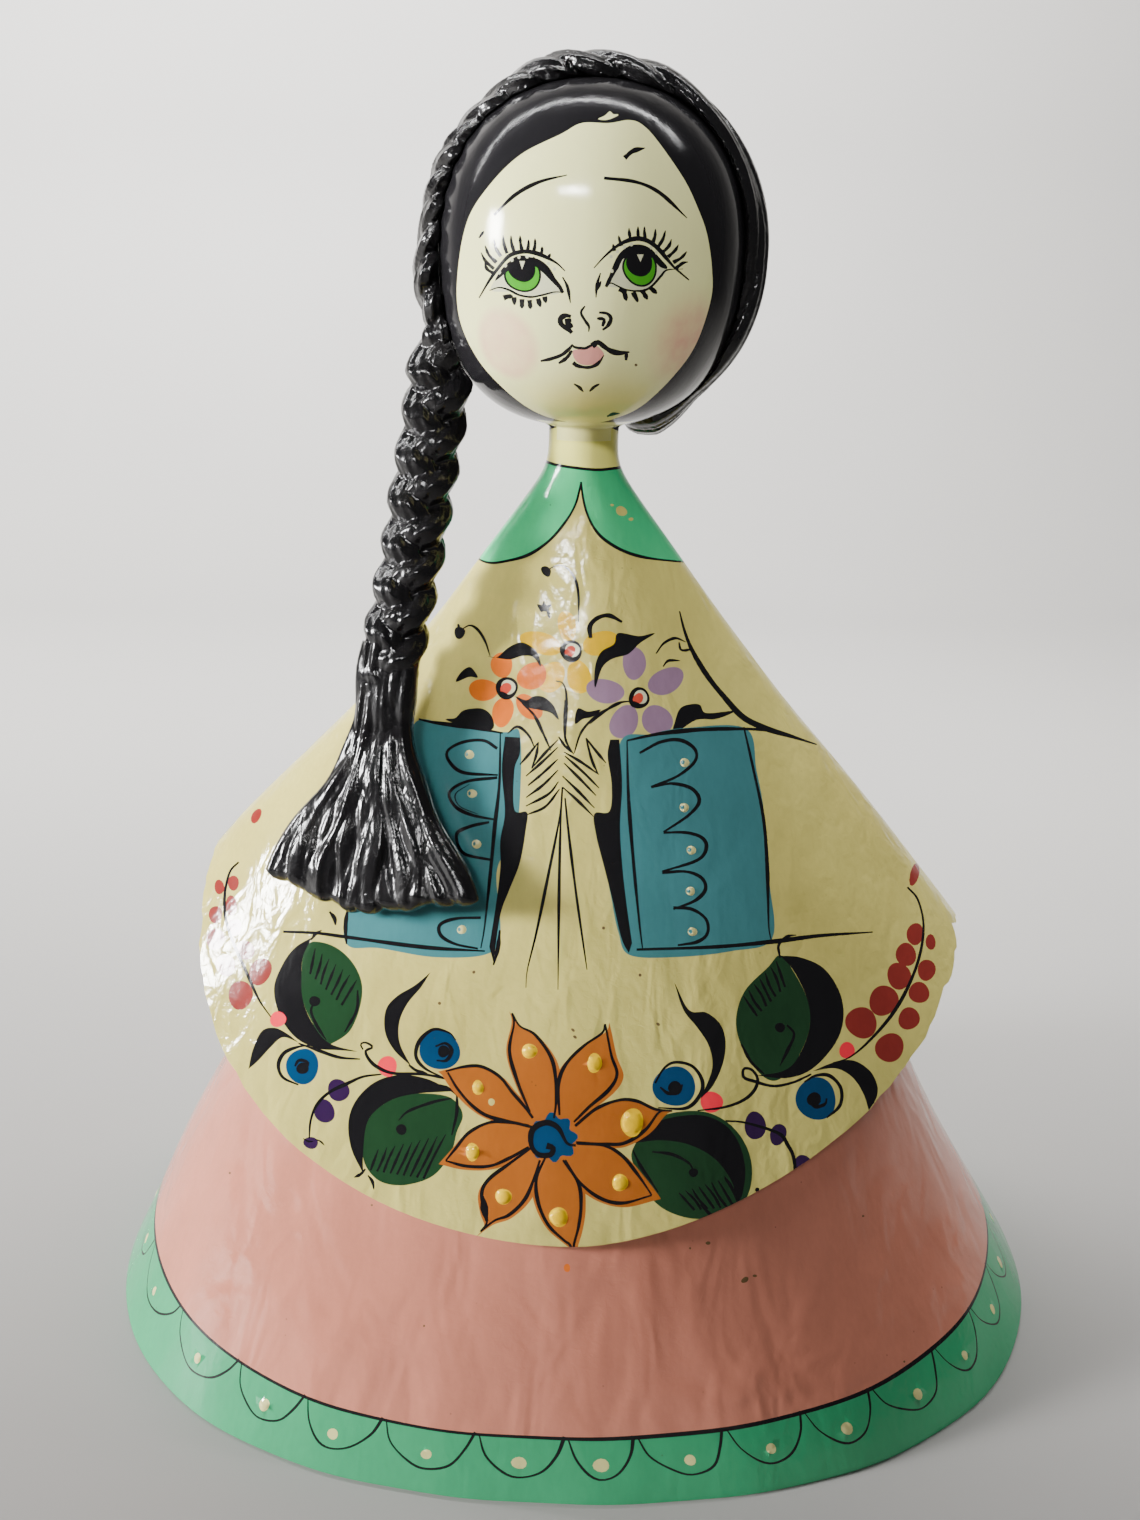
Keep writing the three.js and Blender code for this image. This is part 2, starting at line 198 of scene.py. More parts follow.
@dataclass
class Shader:
    """A material's node tree, with short ways to add the nodes the finishes use."""

    name: str

    def __post_init__(self) -> None:
        """Makes the material with its surface shader."""
        self.material = bpy.data.materials.new(self.name)
        self.material.use_nodes = True
        self.tree = self.material.node_tree
        self.surface = self.tree.nodes["Principled BSDF"]

    def node(
        self, kind: str, settings: dict | None = None, inputs: dict | None = None, output: object = 0
    ) -> Val:
        """Adds one node.

        Args:
            kind: The node's type.
            settings: Properties, set first.
            inputs: Values or links, by socket name or number.
            output: The socket that the result reads, by name or number.

        Returns:
            The output as a value.
        """
        made = self.tree.nodes.new(kind)
        for key, value in (settings or {}).items():
            setattr(made, key, value)
        for key, value in (inputs or {}).items():
            self.set(made.inputs[key], value)
        return Val(self, made.outputs[output])

    def set(self, socket: bpy.types.NodeSocket, value: object) -> None:
        """Links a value to a socket, or writes a plain number or colour on it.

        Args:
            socket: The socket.
            value: A value, number or colour.
        """
        if isinstance(value, Val):
            self.tree.links.new(value.socket, socket)
        elif isinstance(value, tuple) and len(value) == 3 and socket.type == "RGBA":
            socket.default_value = (*value, 1)
        else:
            socket.default_value = value

    def place(self) -> Val:
        """Place on the object in metres."""
        return self.node("ShaderNodeTexCoord", output="Object")

    def stretched(self, scale: Triple, turn: Triple = (0, 0, 0)) -> Val:
        """Place scaled along each axis, after a turn, for marks that run one way."""
        turned = self.node("ShaderNodeMapping", inputs={"Vector": self.place(), "Rotation": turn})
        return self.node("ShaderNodeMapping", inputs={"Vector": turned, "Scale": scale})

    def noise(self, where: Val, scale: float, detail: float = 3, distortion: float = 0) -> Val:
        """Cloudy values about 0.5."""
        inputs = {"Vector": where, "Scale": scale, "Detail": detail, "Distortion": distortion}
        return self.node("ShaderNodeTexNoise", inputs=inputs)

    def cells(self, where: Val, scale: float) -> Val:
        """Distance to scattered spots."""
        return self.node("ShaderNodeTexVoronoi", inputs={"Vector": where, "Scale": scale})

    def blend(self, mask: object, a: object, b: object, how: str = "MIX") -> Val:
        """Colour a where the mask is 0 and b where it is 1."""
        settings = {"data_type": "RGBA", "blend_type": how}
        return self.node("ShaderNodeMix", settings, {"Factor": mask, 6: a, 7: b}, output=2)

    def near(self, centre: Triple, inner: float, outer: float) -> Val:
        """1 close to a place, 0 beyond it, with the two distances in millimetres.

        Args:
            centre: The place.
            inner: Where it starts to fade.
            outer: Where it ends.

        Returns:
            The mask.
        """
        inputs = {0: self.place(), 1: tuple(c * MM for c in centre)}
        distance = self.node("ShaderNodeVectorMath", {"operation": "DISTANCE"}, inputs, output="Value")
        return 1 - distance.band(inner * MM, outer * MM)

    def bump(self, height: Val, depth: float, under: Val | None = None) -> Val:
        """Surface direction for a height in shares of a depth in millimetres.

        Args:
            height: The height.
            depth: The depth.
            under: A direction that it adds to.

        Returns:
            The direction.
        """
        inputs = {"Height": height, "Distance": depth * MM}
        if under is not None:
            inputs["Normal"] = under
        return self.node("ShaderNodeBump", inputs=inputs)

    def finish(self, **inputs: object) -> bpy.types.Material:
        """Writes the surface shader's sockets, named with underscores, and gives the material.

        Args:
            inputs: The sockets' values or links.

        Returns:
            The material.
        """
        for key, value in inputs.items():
            self.set(self.surface.inputs[key.replace("_", " ")], value)
        return self.material


def linear(colour: Colour) -> tuple[float, float, float]:
    """Turns a colour as seen, 0 to 255, into the shader's linear values."""
    shares = (c / 255 for c in colour)
    return tuple(s / 12.92 if s <= 0.04045 else ((s + 0.055) / 1.055) ** 2.4 for s in shares)


@dataclass(frozen=True)
class Rouge:
    """The rouge on both cheeks and a darker, yellower patch round the chin, with places in millimetres."""

    right: Triple = (24.5, -29.5, 292.5)
    right_tint: Colour = (233, 160, 140)
    left: Triple = (-21.5, -30.5, 291.5)
    left_tint: Colour = (246, 190, 160)
    rim_tint: Colour = (222, 168, 130)
    chin: Triple = (0, -26, 268)
    chin_tint: Colour = (232, 214, 140)

    def over(self, s: Shader, colour: Val) -> Val:
        """Dabs the rouge over a colour, with the worn rim of the left cheek.

        Args:
            s: The shader.
            colour: The skin's colour.

        Returns:
            The colour with the rouge.
        """
        right = s.near(self.right, 3, 15)
        left = s.near(self.left, 6.5, 10.5)
        rim = left * (1 - s.near(self.left, 5.5, 8.6))
        soft = s.noise(s.place(), 240, 4).band(0.2, 0.8)
        # darker and yellower round a point under the chin, where the head meets the neck
        chin = s.near(self.chin, 8, 27)
        colour = s.blend(chin * 0.55, colour, linear(self.chin_tint), "MULTIPLY")
        colour = s.blend(right * (soft * 0.35 + 0.5), colour, linear(self.right_tint))
        colour = s.blend(left * (soft * 0.25 + 0.42), colour, linear(self.left_tint))
        return s.blend(rim * 0.22, colour, linear(self.rim_tint))


@dataclass(frozen=True)
class PaintFinish:
    """Brushed paint under a coat of aged varnish, on papered card."""

    colour: Colour
    mottle: float = 0.10
    wrinkle: float = 0.10
    grime: float = 0.25
    gloss: float = 0.5
    roughness: float = 0.09
    varnish_depth: float = 0.05
    rouge: Rouge | None = None
    fold_turn: float = 0
    cloud_scale: float = 55
    grain_scale: float = 700
    age_scale: float = 16
    speck_scale: float = 210
    fold_scale: float = 130
    crinkle_scale: float = 420
    age_tint: Colour = (150, 118, 62)
    speck_tint: Colour = (74, 58, 36)

    def material(self, name: str) -> bpy.types.Material:
        """Builds the finish.

        Args:
            name: The material's name.

        Returns:
            The material.
        """
        s = Shader(name)
        base = linear(self.colour)
        where = s.place()
        cloud = s.noise(where, self.cloud_scale, 5)
        grain = s.noise(s.stretched((1, 1, 0.22)), self.grain_scale, 3)
        shade = (cloud - 0.5) * (self.mottle * 1.6) + (grain - 0.5) * (self.mottle * 0.9) + 1
        grey = s.node("ShaderNodeCombineColor", inputs={0: shade, 1: shade, 2: shade})
        colour = s.blend(1.0, base, grey, "MULTIPLY")
        aged = s.noise(where, self.age_scale, 4, 0.6).band(0.42, 0.75) * (self.grime * 0.55)
        colour = s.blend(aged, colour, linear(self.age_tint), "MULTIPLY")
        dots = 1 - s.cells(where, self.speck_scale).band(0.03, 0.075)
        specks = dots * s.noise(where, 60).band(0.56, 0.66)
        colour = s.blend(specks * (self.grime * 2.2), colour, linear(self.speck_tint))
        if self.rouge:
            colour = self.rouge.over(s, colour)
        way = (0, 0, math.radians(self.fold_turn))
        folds = s.noise(s.stretched((1, 1, 0.35), way), self.fold_scale, 2, 0.5)
        paper = s.bump(folds, self.wrinkle * 3.2)
        crinkle = s.noise(where, self.crinkle_scale, 3, 0.8)
        varnish = s.bump(crinkle, self.varnish_depth, paper)
        return s.finish(
            Base_Color=colour,
            Roughness=s.noise(where, 90).band(0.2, 0.8) * 0.08 + self.roughness,
            Specular_IOR_Level=self.gloss,
            Normal=varnish,
        )


@dataclass(frozen=True)
class CardFinish:
    """Bare grey-brown card, fibrous, for the lining, torn edges and underside."""

    colour: Colour = (168, 146, 112)
    dark: Colour = (142, 118, 84)
    pale: Colour = (196, 178, 146)

    def material(self, name: str) -> bpy.types.Material:
        """Builds the finish.

        Args:
            name: The material's name.

        Returns:
            The material.
        """
        s = Shader(name)
        fibre = s.noise(s.stretched((1, 0.25, 1)), 900, 4, 0.4)
        cloud = s.noise(s.place(), 40, 4)
        colour = s.blend(cloud.band(0.3, 0.7), linear(self.colour), linear(self.dark))
        colour = s.blend(fibre.band(0.52, 0.7) * 0.5, colour, linear(self.pale))
        return s.finish(Base_Color=colour, Roughness=0.86, Normal=s.bump(fibre, 0.12))


@dataclass(frozen=True)
class LacquerFinish:
    """Thick black lacquer pooled over modelled hair, with fine tool marks."""

    colour: Colour = (21, 20, 21)
    worn_tint: Colour = (42, 39, 36)
    groove: float = 0.35
    grain: Triple = (1, 1, 1)
    fineness: float = 330
    chip: Triple = (42.5, 1.0, 336.5)
    chip_tint: Colour = (150, 104, 58)

    def material(self, name: str) -> bpy.types.Material:
        """Builds the finish.

        Args:
            name: The material's name.

        Returns:
            The material.
        """
        s = Shader(name)
        where = s.place()
        worn = s.noise(where, 75, 5).band(0.55, 0.8)
        colour = s.blend(worn * 0.45, linear(self.colour), linear(self.worn_tint))
        lumps = s.noise(s.stretched(self.grain), self.fineness, 3, 0.7)
        chipped = s.near(self.chip, 0.8, 2.2)
        colour = s.blend(chipped, colour, linear(self.chip_tint))
        pits = 1 - s.cells(where, 330).band(0.0, 0.16)
        rough = s.bump(pits * s.noise(where, 120).band(0.5, 0.62), 0.12)
        return s.finish(
            Base_Color=colour,
            Roughness=s.noise(where, 150).band(0.25, 0.75) * 0.12 + 0.14,
            Specular_IOR_Level=0.45,
            Normal=s.bump(lumps, self.groove, rough),
        )


class Paint(Enum):
    """Every paint on the figure. A later mark lies over an earlier one, whatever its paint."""

    CREAM = PaintFinish((212, 200, 112), mottle=0.15, wrinkle=0.3, grime=0.34, varnish_depth=0.13)
    SKIN = PaintFinish(
        (252, 251, 178), mottle=0.05, wrinkle=0.03, grime=0.12, varnish_depth=0.02, rouge=Rouge()
    )
    NECK = PaintFinish((246, 240, 130), mottle=0.06, wrinkle=0.04, grime=0.2)
    HAIR = PaintFinish((30, 29, 31), mottle=0.2, wrinkle=0.04, grime=0.05, gloss=0.16, varnish_depth=0.03)
    BLACK = PaintFinish((24, 23, 25), mottle=0.15, grime=0.05, gloss=0.35)
    COLLAR_GREEN = PaintFinish((64, 196, 128), mottle=0.12)
    HEM_GREEN = PaintFinish((52, 158, 106), mottle=0.14, varnish_depth=0.04)
    PINK = PaintFinish(
        (198, 126, 104), mottle=0.15, wrinkle=0.48, varnish_depth=0.06, fold_turn=38, fold_scale=62
    )
    BLUE = PaintFinish((66, 124, 128), mottle=0.16)
    ORANGE = PaintFinish((176, 98, 34), mottle=0.16)
    LEAF = PaintFinish((31, 63, 37), mottle=0.22)
    DEEP_BLUE = PaintFinish((8, 64, 104), mottle=0.2)
    BERRY = PaintFinish((140, 48, 42), mottle=0.2)
    ROSE = PaintFinish((255, 52, 70), mottle=0.06)
    PURPLE = PaintFinish((50, 25, 66), mottle=0.15)
    YELLOW = PaintFinish((248, 200, 0), mottle=0.14, varnish_depth=0.1)
    SPOT = PaintFinish((214, 208, 140), mottle=0.1)
    BUD_ORANGE = PaintFinish((226, 112, 32), mottle=0.2)
    BUD_YELLOW = PaintFinish((236, 188, 0), mottle=0.2)
    LAVENDER = PaintFinish((148, 118, 142), mottle=0.2)
    RED = PaintFinish((214, 74, 54), mottle=0.2)
    IRIS = PaintFinish((70, 164, 36), mottle=0.2, grime=0)
    LIP = PaintFinish((232, 158, 146), mottle=0.08)
    WHITE = PaintFinish((216, 216, 176), mottle=0.05, grime=0)
    GRIME = PaintFinish((104, 84, 56), mottle=0.3, gloss=0.3)
    CARD = CardFinish()

    def material(self) -> bpy.types.Material:
        """The paint's material, made once."""
        name = self.name.lower()
        return bpy.data.materials.get(name) or self.value.material(name)


@dataclass(frozen=True)
class Oval:
    """A level outline, fuller at its corners above squareness 2 and more pointed below."""

    x: Array
    right: Array
    left: Array
    depth: Array
    squareness: Array
    softness: float = 0.15

    def _share(self, s: Array) -> Array:
        """Distance from the middle for a sine or cosine of the turn."""
        power = 1 / self.squareness - 0.5
        return s * ((s * s + self.softness**2) / (1 + self.softness**2)) ** power

    def point(self, turn: Array, z: Array) -> Array:
        """Place on the outline. Turn 0 is the front and a quarter turn is +X.

        Args:
            turn: The turn.
            z: The height.

        Returns:
            The place.
        """
        across, front = np.sin(turn), np.cos(turn)
        side = np.where(across > 0, self.right, self.left)
        x, y = self.x + side * self._share(across), -self.depth * self._share(front)
        return np.stack(np.broadcast_arrays(x, y, z), -1)

    def turn_of(self, x: Array, y: Array) -> Array:
        """Turn of the place on the outline that lies in the direction of a point.

        Args:
            x: The point's x.
            y: The point's y.

        Returns:
            The turn.
        """
        across = np.abs(x - self.x) / np.where(x > self.x, self.right, self.left)
        front = np.abs(y) / self.depth

        def over(turn: Array) -> Array:
            """Whether a turn passes the point's direction."""
            return self._share(np.sin(turn)) * front > self._share(np.cos(turn)) * across

        low, _ = halved(np.zeros_like(across), np.full_like(across, math.pi / 2), over, 30)
        turn = np.where(y > 0, math.pi - low, low)
        return np.where(x > self.x, turn, -turn)

    def reach(self, x: Array, y: Array) -> Array:
        """Under 1 inside the outline, 1 on it and more outside.

        Args:
            x: The point's x.
            y: The point's y.

        Returns:
            The share.
        """
        side = np.where(x > self.x, self.right, self.left)
        power = self.squareness
        return (np.abs((x - self.x) / side) ** power + np.abs(y / self.depth) ** power) ** (1 / power)

    def grown(self, sides: Array, depth: Array) -> "Oval":
        """The outline further out at its sides and depth."""
        return Oval(self.x, self.right + sides, self.left + sides, self.depth + depth, self.squareness)


@dataclass(frozen=True)
class FigureForm:
    """The cape in one with the neck and the egg of the head, in millimetres."""

    tears: tuple[Triple, ...] = (
        (1.37, 0.04, 2.4), (1.05, 0.035, 1.2), (1.53, 0.03, -0.9), (-1.12, 0.03, 0.9),
    )
    card: float = 1.8
    tip_height: float = 272.0
    front_slope: float = 0.4036
    shoulder_slope: float = 0.752
    right_flare: float = 0.05
    left_flare: float = 0.115
    flare_top: float = 225.0
    flare_bottom: float = 150.0
    squareness: float = 1.7
    axis: float = -1.2
    lean: float = -0.5
    rim_front: float = 66.5
    rim_right_rise: float = 59.5
    rim_left_rise: float = 79.5
    rim_right_curve: float = 1.8
    rim_left_curve: float = 2.45
    neck_radius: float = 9.5
    neck_height: float = 259.5
    shoulder_drop: float = 24.5
    head_radius: float = 39.6
    head_middle: float = 314.0
    head_rise: float = 40.0
    head_drop: float = 43.5
    crown_squareness: float = 2.2
    jaw_squareness: float = 2.5
    head_axis: float = -0.4
    lining_drop: float = 14.0
    spread: float = 60.0
    cape_span: float = 200.0
    head_span: float = 150.0
    furthest_move: float = 30.0

    @property
    def crown(self) -> float:
        """Height of the top of the head."""
        return self.head_middle + self.head_rise

    @property
    def top_seen(self) -> float:
        """Height above which a line of sight passes over the form."""
        return self.crown - 0.5

    @cached_property
    def profile(self) -> tuple[Array, Array]:
        """Heights up the front of the neck and head, and how far along its outline each one is."""
        chin = self.head_middle - self.head_drop
        wave = (1 - np.cos(np.linspace(0, math.pi, 900))) / 2
        heights = np.concatenate([np.linspace(self.neck_height, chin, 60)[:-1], mix(chin, self.crown, wave)])
        depths = self.oval(heights).depth
        along = np.concatenate([[0], np.cumsum(np.hypot(np.diff(heights), np.diff(depths)))])
        return heights, along * (self.head_span / along[-1])

    def egg(self, z: Array) -> Array:
        """Radius of the head at a height.

        Args:
            z: The height.

        Returns:
            The radius.
        """
        up = z > self.head_middle
        share = np.clip(np.abs(z - self.head_middle) / np.where(up, self.head_rise, self.head_drop), 0, 1)
        power = np.where(up, self.crown_squareness, self.jaw_squareness)
        return self.head_radius * (1 - share**power) ** (1 / power)

    def side_slope(self, z: Array, flare: float) -> Array:
        """How fast the cape widens downwards on one side."""
        share = (self.flare_top - z) / (self.flare_top - self.flare_bottom)
        return self.shoulder_slope + flare * smooth(share)

    def oval(self, z: Array) -> Oval:
        """Outline of the cape, neck and head at a height.

        Args:
            z: The height.

        Returns:
            The outline.
        """
        z = np.asarray(z, float)
        below = np.maximum(self.tip_height - z, 0)
        neck = np.where(z < self.head_middle, self.neck_radius, 0)
        egg = np.maximum(self.egg(z), 1e-3)
        body = self.axis + self.lean * z / self.neck_height
        x = mix(body, self.head_axis, smooth((z - self.neck_height) / (self.head_middle - self.neck_height)))
        return Oval(
            x,
            soft_max(below * self.side_slope(z, self.right_flare), neck, egg),
            soft_max(below * self.side_slope(z, self.left_flare), neck, egg),
            soft_max(below * self.front_slope, neck, egg),
            mix(self.squareness, 2, smooth((z - self.neck_height) / self.shoulder_drop + 1)),
        )

    def offset_oval(self, z: Array, distance: float) -> Oval:
        """Outline further out by a distance square to the cape."""
        sides = distance * np.hypot(1, self.side_slope(z, self.left_flare))
        return self.oval(z).grown(sides, distance * math.hypot(1, self.front_slope))

    def rim(self, turn: Array) -> Array:
        """Height of the cape's lower edge, with its wear and the torn right corner.

        Args:
            turn: The turn.

        Returns:
            The height.
        """
        across = np.sin(turn)
        share = np.abs(across)
        right = self.rim_right_rise * share**self.rim_right_curve
        left = self.rim_left_rise * share**self.rim_left_curve
        ragged = 0.35 * np.sin(turn * 37) * np.sin(turn * 11 + 1) + 0.2 * np.sin(turn * 83)
        for at, wide, deep in self.tears:
            ragged = ragged + deep * np.exp(-(((turn - at) / wide) ** 2))
        return self.rim_front + np.where(across > 0, right, left) + ragged * smooth(share * 3 - 1.2)

    def height(self, u: Array, v: Array) -> Array:
        """Height of a place on the opened-out surface.

        Args:
            u: Its place across.
            v: Its place up, under 0 on the cape.

        Returns:
            The height.
        """
        cape = mix(self.rim(u / self.spread), self.neck_height, 1 + v / self.cape_span)
        heights, along = self.profile
        return np.where(v < 0, cape, np.interp(v, along, heights))

    def place(self, u: Array, v: Array) -> Array:
        """Place of an opened-out point on the form."""
        z = self.height(u, v)
        return self.oval(z).point(u / self.spread, z)

    def unfold(self, points: Array) -> Array:
        """Opened-out places of points on the form.

        Args:
            points: The points.

        Returns:
            The opened-out places.
        """
        x, y, z = points.T
        turn = self.oval(z).turn_of(x, y)
        rim = self.rim(turn)
        cape = ((z - rim) / (self.neck_height - rim) - 1) * self.cape_span
        heights, along = self.profile
        head = np.interp(z, heights, along)
        return np.stack([turn * self.spread, np.where(z < self.neck_height, cape, head)], 1)

    def seated(self, points: Array, outward: Array, gap: float) -> Array:
        """Moves points that would sink into the form out to a gap from it.

        Args:
            points: The points.
            outward: The way each one may move.
            gap: The clearance kept.

        Returns:
            The points, clear of the form.
        """

        def sunk(p: Array) -> Array:
            """Whether points lie inside the form's outline with the gap."""
            inside = self.offset_oval(p[:, 2], gap).reach(p[:, 0], p[:, 1]) < 1
            return inside & (p[:, 2] < self.crown + gap)

        def clear(move: Array) -> Array:
            """Whether points are out of the form after a move."""
            return ~sunk(points + outward * move[:, None])

        _, high = halved(np.zeros(len(points)), np.where(sunk(points), self.furthest_move, 0.0), clear)
        return points + outward * high[:, None]


@dataclass(frozen=True)
class SkirtForm:
    """The oval cone of the skirt, in millimetres."""

    figure: FigureForm
    half_width: float = 149.5
    half_depth: float = 105.4
    tip_height: float = 278.7
    lean: float = -3.2
    lean_height: float = 50.0
    lean_return: float = 70.0
    edge_round: float = 1.2
    squareness: float = 2.25
    top_squareness: float = 1.95
    gap: float = 0.35
    top: float = 241.5
    top_seen: float = 240.0
    spread: float = 125.0

    def oval(self, z: Array) -> Oval:
        """Outline of the skirt at a height.

        Args:
            z: The height.

        Returns:
            The outline.
        """
        z = np.asarray(z, float)
        share = 1 - z / self.tip_height
        lining = self.figure.offset_oval(z, -self.figure.card - 2 * self.gap)
        lean = self.lean * smooth(z / self.lean_height)
        inset = self.edge_round * smooth(1 - z / self.edge_round)
        width = self.half_width * share - inset
        return Oval(
            mix(lean, self.figure.oval(z).x, smooth((z - self.lean_height) / self.lean_return)),
            width,
            width,
            np.minimum(self.half_depth * share, lining.depth) - inset,
            mix(self.squareness, self.top_squareness, smooth(z / self.figure.rim_front)),
        )

    def place(self, u: Array, v: Array) -> Array:
        """Place of an opened-out point on the form. The second number is its height."""
        return self.oval(v).point(u / self.spread, v)

    def unfold(self, points: Array) -> Array:
        """Opened-out places of points on the form."""
        x, y, z = points.T
        return np.stack([self.oval(z).turn_of(x, y) * self.spread, z], 1)


@dataclass(frozen=True)
class Sight:
    """Where the photograph was taken from, in millimetres, degrees and its own pixels."""

    side: float = -4.0
    distance: float = 352.6
    height: float = 302.0
    pitch: float = 20.0
    roll: float = 0.9
    focal: float = 1260.0
    wide: int = 1140
    tall: int = 1520
    sensor: float = 36.0
    nearest: float = 200.0
    furthest: float = 480.0
    looks: int = 141

    def axes(self) -> tuple[Array, Array, Array]:
        """Directions to the right, up and forward."""
        p, r = math.radians(self.pitch), math.radians(self.roll)
        level = np.array([1.0, 0, 0])
        up = np.array([0, math.sin(p), math.cos(p)])
        forward = np.array([0, math.cos(p), -math.sin(p)])
        return math.cos(r) * level + math.sin(r) * up, math.cos(r) * up - math.sin(r) * level, forward

    @property
    def eye(self) -> Array:
        """Place of the lens."""
        return np.array([self.side, -self.distance, self.height])

    def hits(self, form: FigureForm | SkirtForm, places: Array) -> Array:
        """Finds what the photograph's places lie on.

        Args:
            form: The surface.
            places: Places in the photograph.

        Returns:
            Opened-out places on the surface, where each line of sight meets it or passes closest.
        """
        right, up, forward = self.axes()
        a = (places[:, :1] - self.wide / 2) / self.focal
        b = (self.tall / 2 - places[:, 1:]) / self.focal
        rays = forward + a * right + b * up

        def reach(far: Array) -> Array:
            """How far outside the form the rays are at a distance."""
            x, y, z = (self.eye + rays * far[:, None]).T
            over = np.maximum(z - form.top_seen, 0) * 0.1
            return form.oval(np.clip(z, 0, form.top_seen)).reach(x, y) + over

        steps = np.linspace(self.nearest, self.furthest, self.looks)
        found = np.stack([reach(np.full(len(rays), far)) for far in steps])
        inside = found < 1
        first = np.where(inside.any(0), inside.argmax(0), found.argmin(0))
        high = steps[first]
        low = np.where(inside.any(0), high - (steps[1] - steps[0]), high)
        _, met = halved(low, high, lambda far: reach(far) < 1)
        return form.unfold(self.eye + rays * met[:, None])

    def camera(self) -> bpy.types.Object:
        """Makes the camera at the photograph's place."""
        data = bpy.data.cameras.new("photograph_view")
        data.sensor_width = self.sensor
        data.lens = self.sensor * self.focal / self.tall
        data.clip_start = 0.01
        made = linked("photograph_view", data)
        right, up, forward = self.axes()
        stand = np.column_stack([right, up, -forward, self.eye * MM])
        made.matrix_world = Matrix(np.vstack([stand, [0, 0, 0, 1]]))
        bpy.context.scene.camera = made
        return made


@dataclass(frozen=True)
class Dab:
    """A thick spot of paint that stands proud, with its middle and size in millimetres."""

    middle: Array
    radius: float
    height: float


@dataclass
class PaintedSheet:
    """A form opened out flat, with every brush mark cut into it."""

    form: FigureForm | SkirtForm
    low: float
    high: float
    ground: Paint
    pitch: float = 2.0
    unevenness: float = 0.12
    sight: Sight = field(default_factory=Sight)
    marks: list[tuple[Array, Paint, bool]] = field(default_factory=list)
    dabs: list[Dab] = field(default_factory=list)

    @property
    def edge(self) -> float:
        """Half the opened-out width."""
        return math.pi * self.form.spread

    def cut(self, outlines: list[Array], paint: Paint) -> None:
        """Lays marks given by opened-out outlines."""
        self.marks += [(outline, paint, False) for outline in outlines]

    def fill(self, paint: Paint, *outlines: Array) -> None:
        """Lays marks given by outlines in the photograph."""
        self.marks += [(outline, paint, True) for outline in outlines]

    def spots(self, paint: Paint, places: tuple[Spot, ...]) -> None:
        """Lays oval spots given by their middle, half sizes and tilt in the photograph."""
        self.fill(paint, *[spot(*place) for place in places])

    def line(
        self, lines: Lines, width: float, scale: float = CAPE_SCALE, start: float = 0.45, end: float = 0.3
    ) -> None:
        """Draws black brush strokes given in the photograph.

        Args:
            lines: A few places along each stroke.
            width: Full width in millimetres.
            scale: The photograph's pixels to a millimetre there.
            start: Share of the width where the brush lands.
            end: Share of the width where it lifts.
        """
        for points in lines:
            self.fill(Paint.BLACK, *ribbon(curve(points), width * scale, start, end))

    def band(self, u: Array, low: Array, high: Array, paint: Paint) -> None:
        """Lays a band between two lines across the opened-out sheet."""
        self.cut([np.vstack([np.stack([u, low], 1), np.stack([u[::-1], high[::-1]], 1)])], paint)

    def dab(self, paint: Paint, shape: Array, height: float) -> None:
        """Lays a thick dab of paint over an outline in the photograph.

        Args:
            paint: Its paint.
            shape: The outline.
            height: Its height in millimetres.
        """
        middle = shape.mean(0)
        self.fill(paint, *[middle + (shape - middle) * share for share in (1, 0.8, 0.55, 0.3)])
        flat = self.sight.hits(self.form, np.vstack([middle, shape]))
        radius = float(np.mean(np.linalg.norm(self.at(flat[1:]) - self.at(flat[:1]), axis=1)))
        self.raised(tuple(flat[0]), radius * 0.82, height)

    def raised(self, middle: Point, radius: float, height: float) -> None:
        """Makes the surface stand proud round an opened-out place."""
        self.dabs.append(Dab(self.at(np.array([middle], float))[0], radius, height))

    def at(self, flat: Array) -> Array:
        """Places in space of opened-out places."""
        return self.form.place(*flat.T)

    def unfolded(self) -> list[tuple[Array, Paint]]:
        """Every mark as an opened-out outline."""
        seen = [outline for outline, _, in_photograph in self.marks if in_photograph]
        flat = iter(())
        if seen:
            ends = np.cumsum([len(outline) for outline in seen])[:-1]
            flat = iter(np.split(self.sight.hits(self.form, np.vstack(seen)), ends))
        return [(next(flat) if in_photograph else shape, paint) for shape, paint, in_photograph in self.marks]

    def shifted(self, u: Array, v: Array) -> Array:
        """Place of an opened-out point, with the form's hand-made waves and the thick dabs.

        Args:
            u: Its place across.
            v: Its place up.

        Returns:
            The place in space.
        """
        points = self.form.place(u, v)
        x, y, z = points.T
        waves = np.sin(x / 6.1 + 0.9 * np.sin(z / 23)) * np.sin(z / 31 + 1.3)
        waves = waves + 0.6 * np.sin(x / 13 - z / 17 + y / 9)
        rise = waves * self.unevenness * smooth((275 - z) / 20 + 0.25)
        for dab in self.dabs:
            away = np.linalg.norm(points - dab.middle, axis=1) / dab.radius
            rise = rise + dab.height * np.sqrt(np.clip(1 - away**2, 0, 1))
        outward = np.stack([x, y * 1.6, np.full_like(x, 20.0)], 1)
        return points + outward / np.linalg.norm(outward, axis=1)[:, None] * rise[:, None]

    def normals(self, u: Array, v: Array) -> Array:
        """Outward directions of the finished surface.

        Args:
            u: Places across.
            v: Places up.

        Returns:
            The directions.
        """
        step = 0.04
        low, high = np.clip(v - step, self.low, self.high), np.clip(v + step, self.low, self.high)
        along = self.shifted(u, high) - self.shifted(u, low)
        across = self.shifted(u + step, v) - self.shifted(u - step, v)
        normal = np.cross(across, along)
        size = np.linalg.norm(normal, axis=1)[:, None]
        return np.where(size > 1e-7, normal / np.maximum(size, 1e-9), [0, 0, 1])

